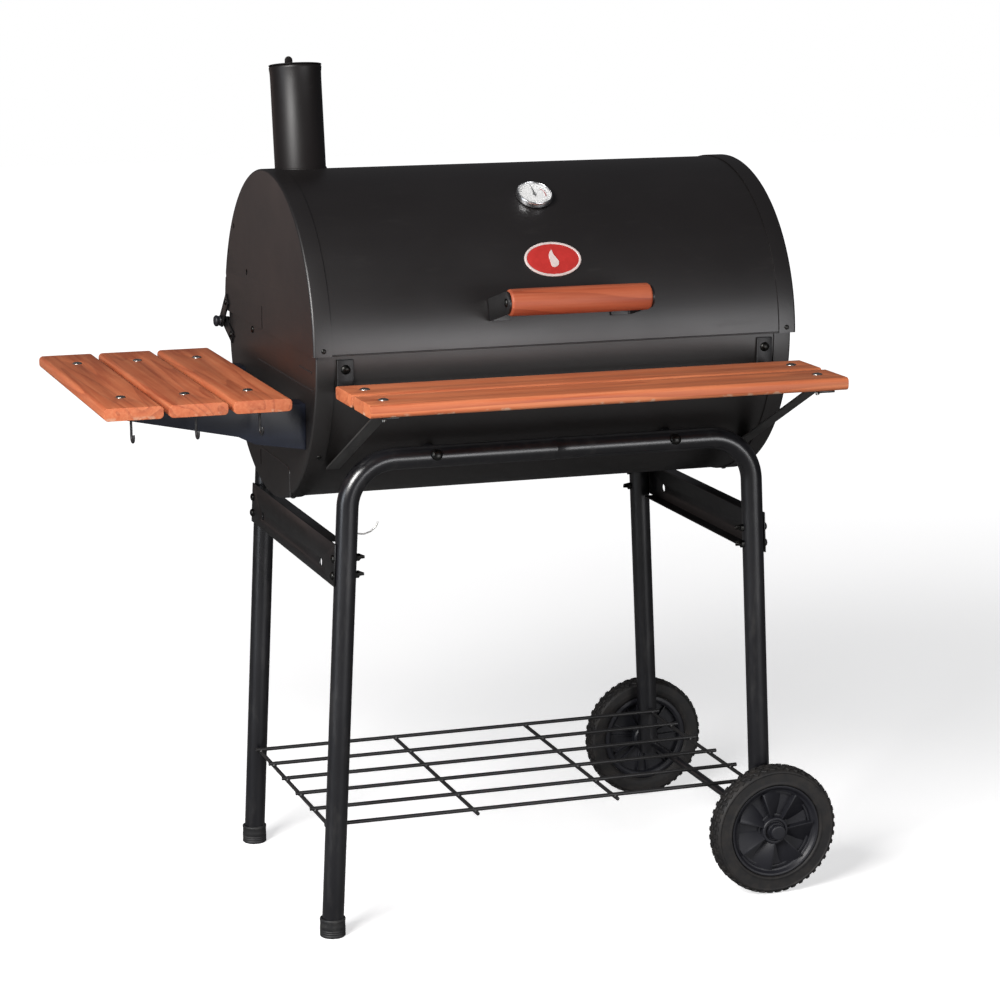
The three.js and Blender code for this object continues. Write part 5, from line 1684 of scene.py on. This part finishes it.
def enamel_finish(name, colour, gloss):
    enamel = Finish(name, Coat_Weight=0.5, Coat_Roughness=0.08)
    mottle = enamel.noise(enamel.place(), 120.0, 4.0)
    dark = tuple(c * 0.72 for c in colour) + (1,)
    return enamel.surface(
        Base_Color=enamel.mix(mottle, dark, tuple(colour) + (1,)), Roughness=mottle * 0.15 + gloss
    )


badge_red = enamel_finish("badge_red", (0.55, 0.035, 0.03), 0.28)
badge_pale = enamel_finish("badge_pale", (0.78, 0.66, 0.63), 0.30)
badge_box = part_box("badge_plate")
badge_half = Vector(((badge_box[1].x - badge_box[0].x) / 2, 0.0275))
badge = lid_place(31)
lid_bend = (lid_depth + lid_height) / 2 * 1.02


def oval_dish(name, rings, material):
    """A thin oval plate from (inset, height) rings, laid to the curve of the lid."""
    form = bmesh.new()
    turns = 72
    made = []
    for inset, height in rings:
        wide, tall = badge_half.x - inset, badge_half.y - inset
        ring = []
        for i in range(turns):
            angle = 2 * math.pi * i / turns
            x, y = wide * math.cos(angle), tall * math.sin(angle)
            drop = y * y / (2 * lid_bend)
            ring.append(form.verts.new(badge @ Vector((x, y, height - drop))))
        made.append(ring)
    for lower, upper in zip(made, made[1:]):
        for i in range(turns):
            k = (i + 1) % turns
            form.faces.new((lower[i], lower[k], upper[k], upper[i]))
    form.faces.new(made[0])
    form.faces.new(made[-1])
    return settle(name, form, material, 50)


rim_rings = [
    (0.0, 0.0004), (0.0, 0.0014), (0.0005, 0.0020), (0.0030, 0.0021), (0.0037, 0.0016), (0.0040, 0.0008)
]
mount_piece(oval_dish("badge_rim", rim_rings, badge_pale), "lid", "badge_enamel", "badge_plate")
field_rings = [(0.0035, 0.0004), (0.0035, 0.0014), (0.0045, 0.0016), (0.012, 0.0019)]
mount_piece(oval_dish("badge_field", field_rings, badge_red), "lid", "badge_enamel")
flame = bmesh.new()
flame_turns = 40
low_ring, high_ring = [], []
for i in range(flame_turns):
    t = 2 * math.pi * i / flame_turns
    x = 0.0098 * math.sin(t) * (0.60 + 0.40 * math.cos(t)) + 0.0018 * math.sin(math.pi * math.cos(t))
    y = 0.0005 - 0.0150 * math.cos(t)
    low_ring.append(flame.verts.new(badge @ Vector((x, y, 0.0012 - y * y / (2 * lid_bend)))))
    high_ring.append(flame.verts.new(badge @ Vector((x * 0.9, y * 0.9, 0.0025 - y * y / (2 * lid_bend)))))
for i in range(flame_turns):
    k = (i + 1) % flame_turns
    flame.faces.new((low_ring[i], low_ring[k], high_ring[k], high_ring[i]))
flame.faces.new(list(reversed(low_ring)))
flame.faces.new(high_ring)
mount_piece(settle("badge_flame_relief", flame, badge_pale, 30), "lid", "badge_enamel")


# ---------------------------------------------------------------- lid handle
# A turned wooden grip is held by a screw through a bent steel bracket at each end,
# whose feet turn in under it and are screwed to the lid.

handle = lid_place(14.3)
grip_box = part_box("handle_grip")
grip_half = (grip_box[1].x - grip_box[0].x) / 2
grip_radius = 0.019
grip_reach = 0.083
grip_place = handle @ Matrix.Translation((0, 0, grip_reach)) @ Matrix.Rotation(math.pi / 2, 4, "Y")
grip_profile = [(0, -grip_half), (grip_radius - 0.004, -grip_half)]
for i in range(1, 7):
    angle = math.pi / 2 * i / 6
    grip_profile.append(
        (grip_radius - 0.004 + 0.004 * math.sin(angle), -grip_half + 0.004 * (1 - math.cos(angle)))
    )
for i in range(1, 12):
    t = i / 12
    grip_profile.append(
        (grip_radius + 0.0004 * math.sin(math.pi * t), -grip_half + 0.004 + (2 * grip_half - 0.008) * t)
    )
for i in range(7):
    angle = math.pi / 2 * i / 6
    grip_profile.append(
        (grip_radius - 0.004 + 0.004 * math.cos(angle), grip_half - 0.004 * (1 - math.sin(angle)))
    )
grip_profile.append((0, grip_half))
# The grip's stain is scaled to 0.68 of its tone: painted shade.
grip_wood = cedar_finish("cedar_handle_grip", "X", 29, grip_box[0].z, 0.0, 0.68)
mount_piece(
    turned("handle_grip_wood", grip_profile, grip_place, grip_wood, 64), "lid", "cedar", "handle_grip"
)

foot_screws = []
strap_half = 0.016
for side, label in ((-1, "left"), (1, "right")):
    form = bmesh.new()
    inner, outer = grip_half + 0.0003, grip_half + 0.0033
    path = rounded(
        [(outer - 0.032, 0.0018, 0), (inner + 0.0015, 0.0018, 0), (inner + 0.0015, grip_reach + 0.016, 0)],
        0.006, 6,
    )
    stations = []
    for k, (x, z, _) in enumerate(path):
        before, after = path[max(k - 1, 0)], path[min(k + 1, len(path) - 1)]
        along = Vector((after[0] - before[0], after[1] - before[1])).normalized()
        across = Vector((along.y, -along.x)) * 0.0015
        stations.append((x, z, across))
    steps = []
    for x, z, across in stations[:-1]:
        steps.append((x, z, across, strap_half))
    x_end, z_end, across_end = stations[-1]
    base = z_end - strap_half
    for i in range(9):
        angle = math.pi / 2 * i / 8
        steps.append(
            (
                x_end, base + strap_half * math.sin(angle), across_end,
                max(strap_half * math.cos(angle), 0.0008),
            )
        )
    rows = []
    for x, z, across, half in steps:
        row = []
        for edge in (-half, half):
            for face in (1, -1):
                local = Vector((side * (x + across.x * face), edge, z + across.y * face))
                row.append(form.verts.new(handle @ local))
        rows.append([row[0], row[1], row[3], row[2]])
    for near_row, far_row in zip(rows, rows[1:]):
        for i in range(4):
            k = (i + 1) % 4
            form.faces.new((near_row[i], near_row[k], far_row[k], far_row[i]))
    form.faces.new(rows[0])
    form.faces.new(list(reversed(rows[-1])))
    bracket = settle(f"handle_bracket_{label}_strap", form, bracket_coat, 40)
    soft = bracket.modifiers.new("eased_edges", "BEVEL")
    soft.width, soft.segments, soft.limit_method, soft.angle_limit = 0.0005, 2, "ANGLE", math.radians(50)
    mount_piece(baked(bracket), "lid", "bracket_paint", f"handle_bracket_{label}")
    out = handle.to_3x3()
    foot_screws.append((handle @ Vector((side * (outer - 0.018), 0, 0.0031)), out @ Vector((0, 0, 1))))
    foot_screws.append((handle @ Vector((side * outer, 0, grip_reach)), out @ Vector((side, 0, 0))))
handle_screw = dome_head(0.0062, 0.0030)
mount_piece(fasteners("handle_screws", handle_screw, foot_screws, screw_black), "lid", "bracket_paint")


# ---------------------------------------------------------------- sizes
# The barrel smoker's overall box as finished here.

low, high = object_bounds()
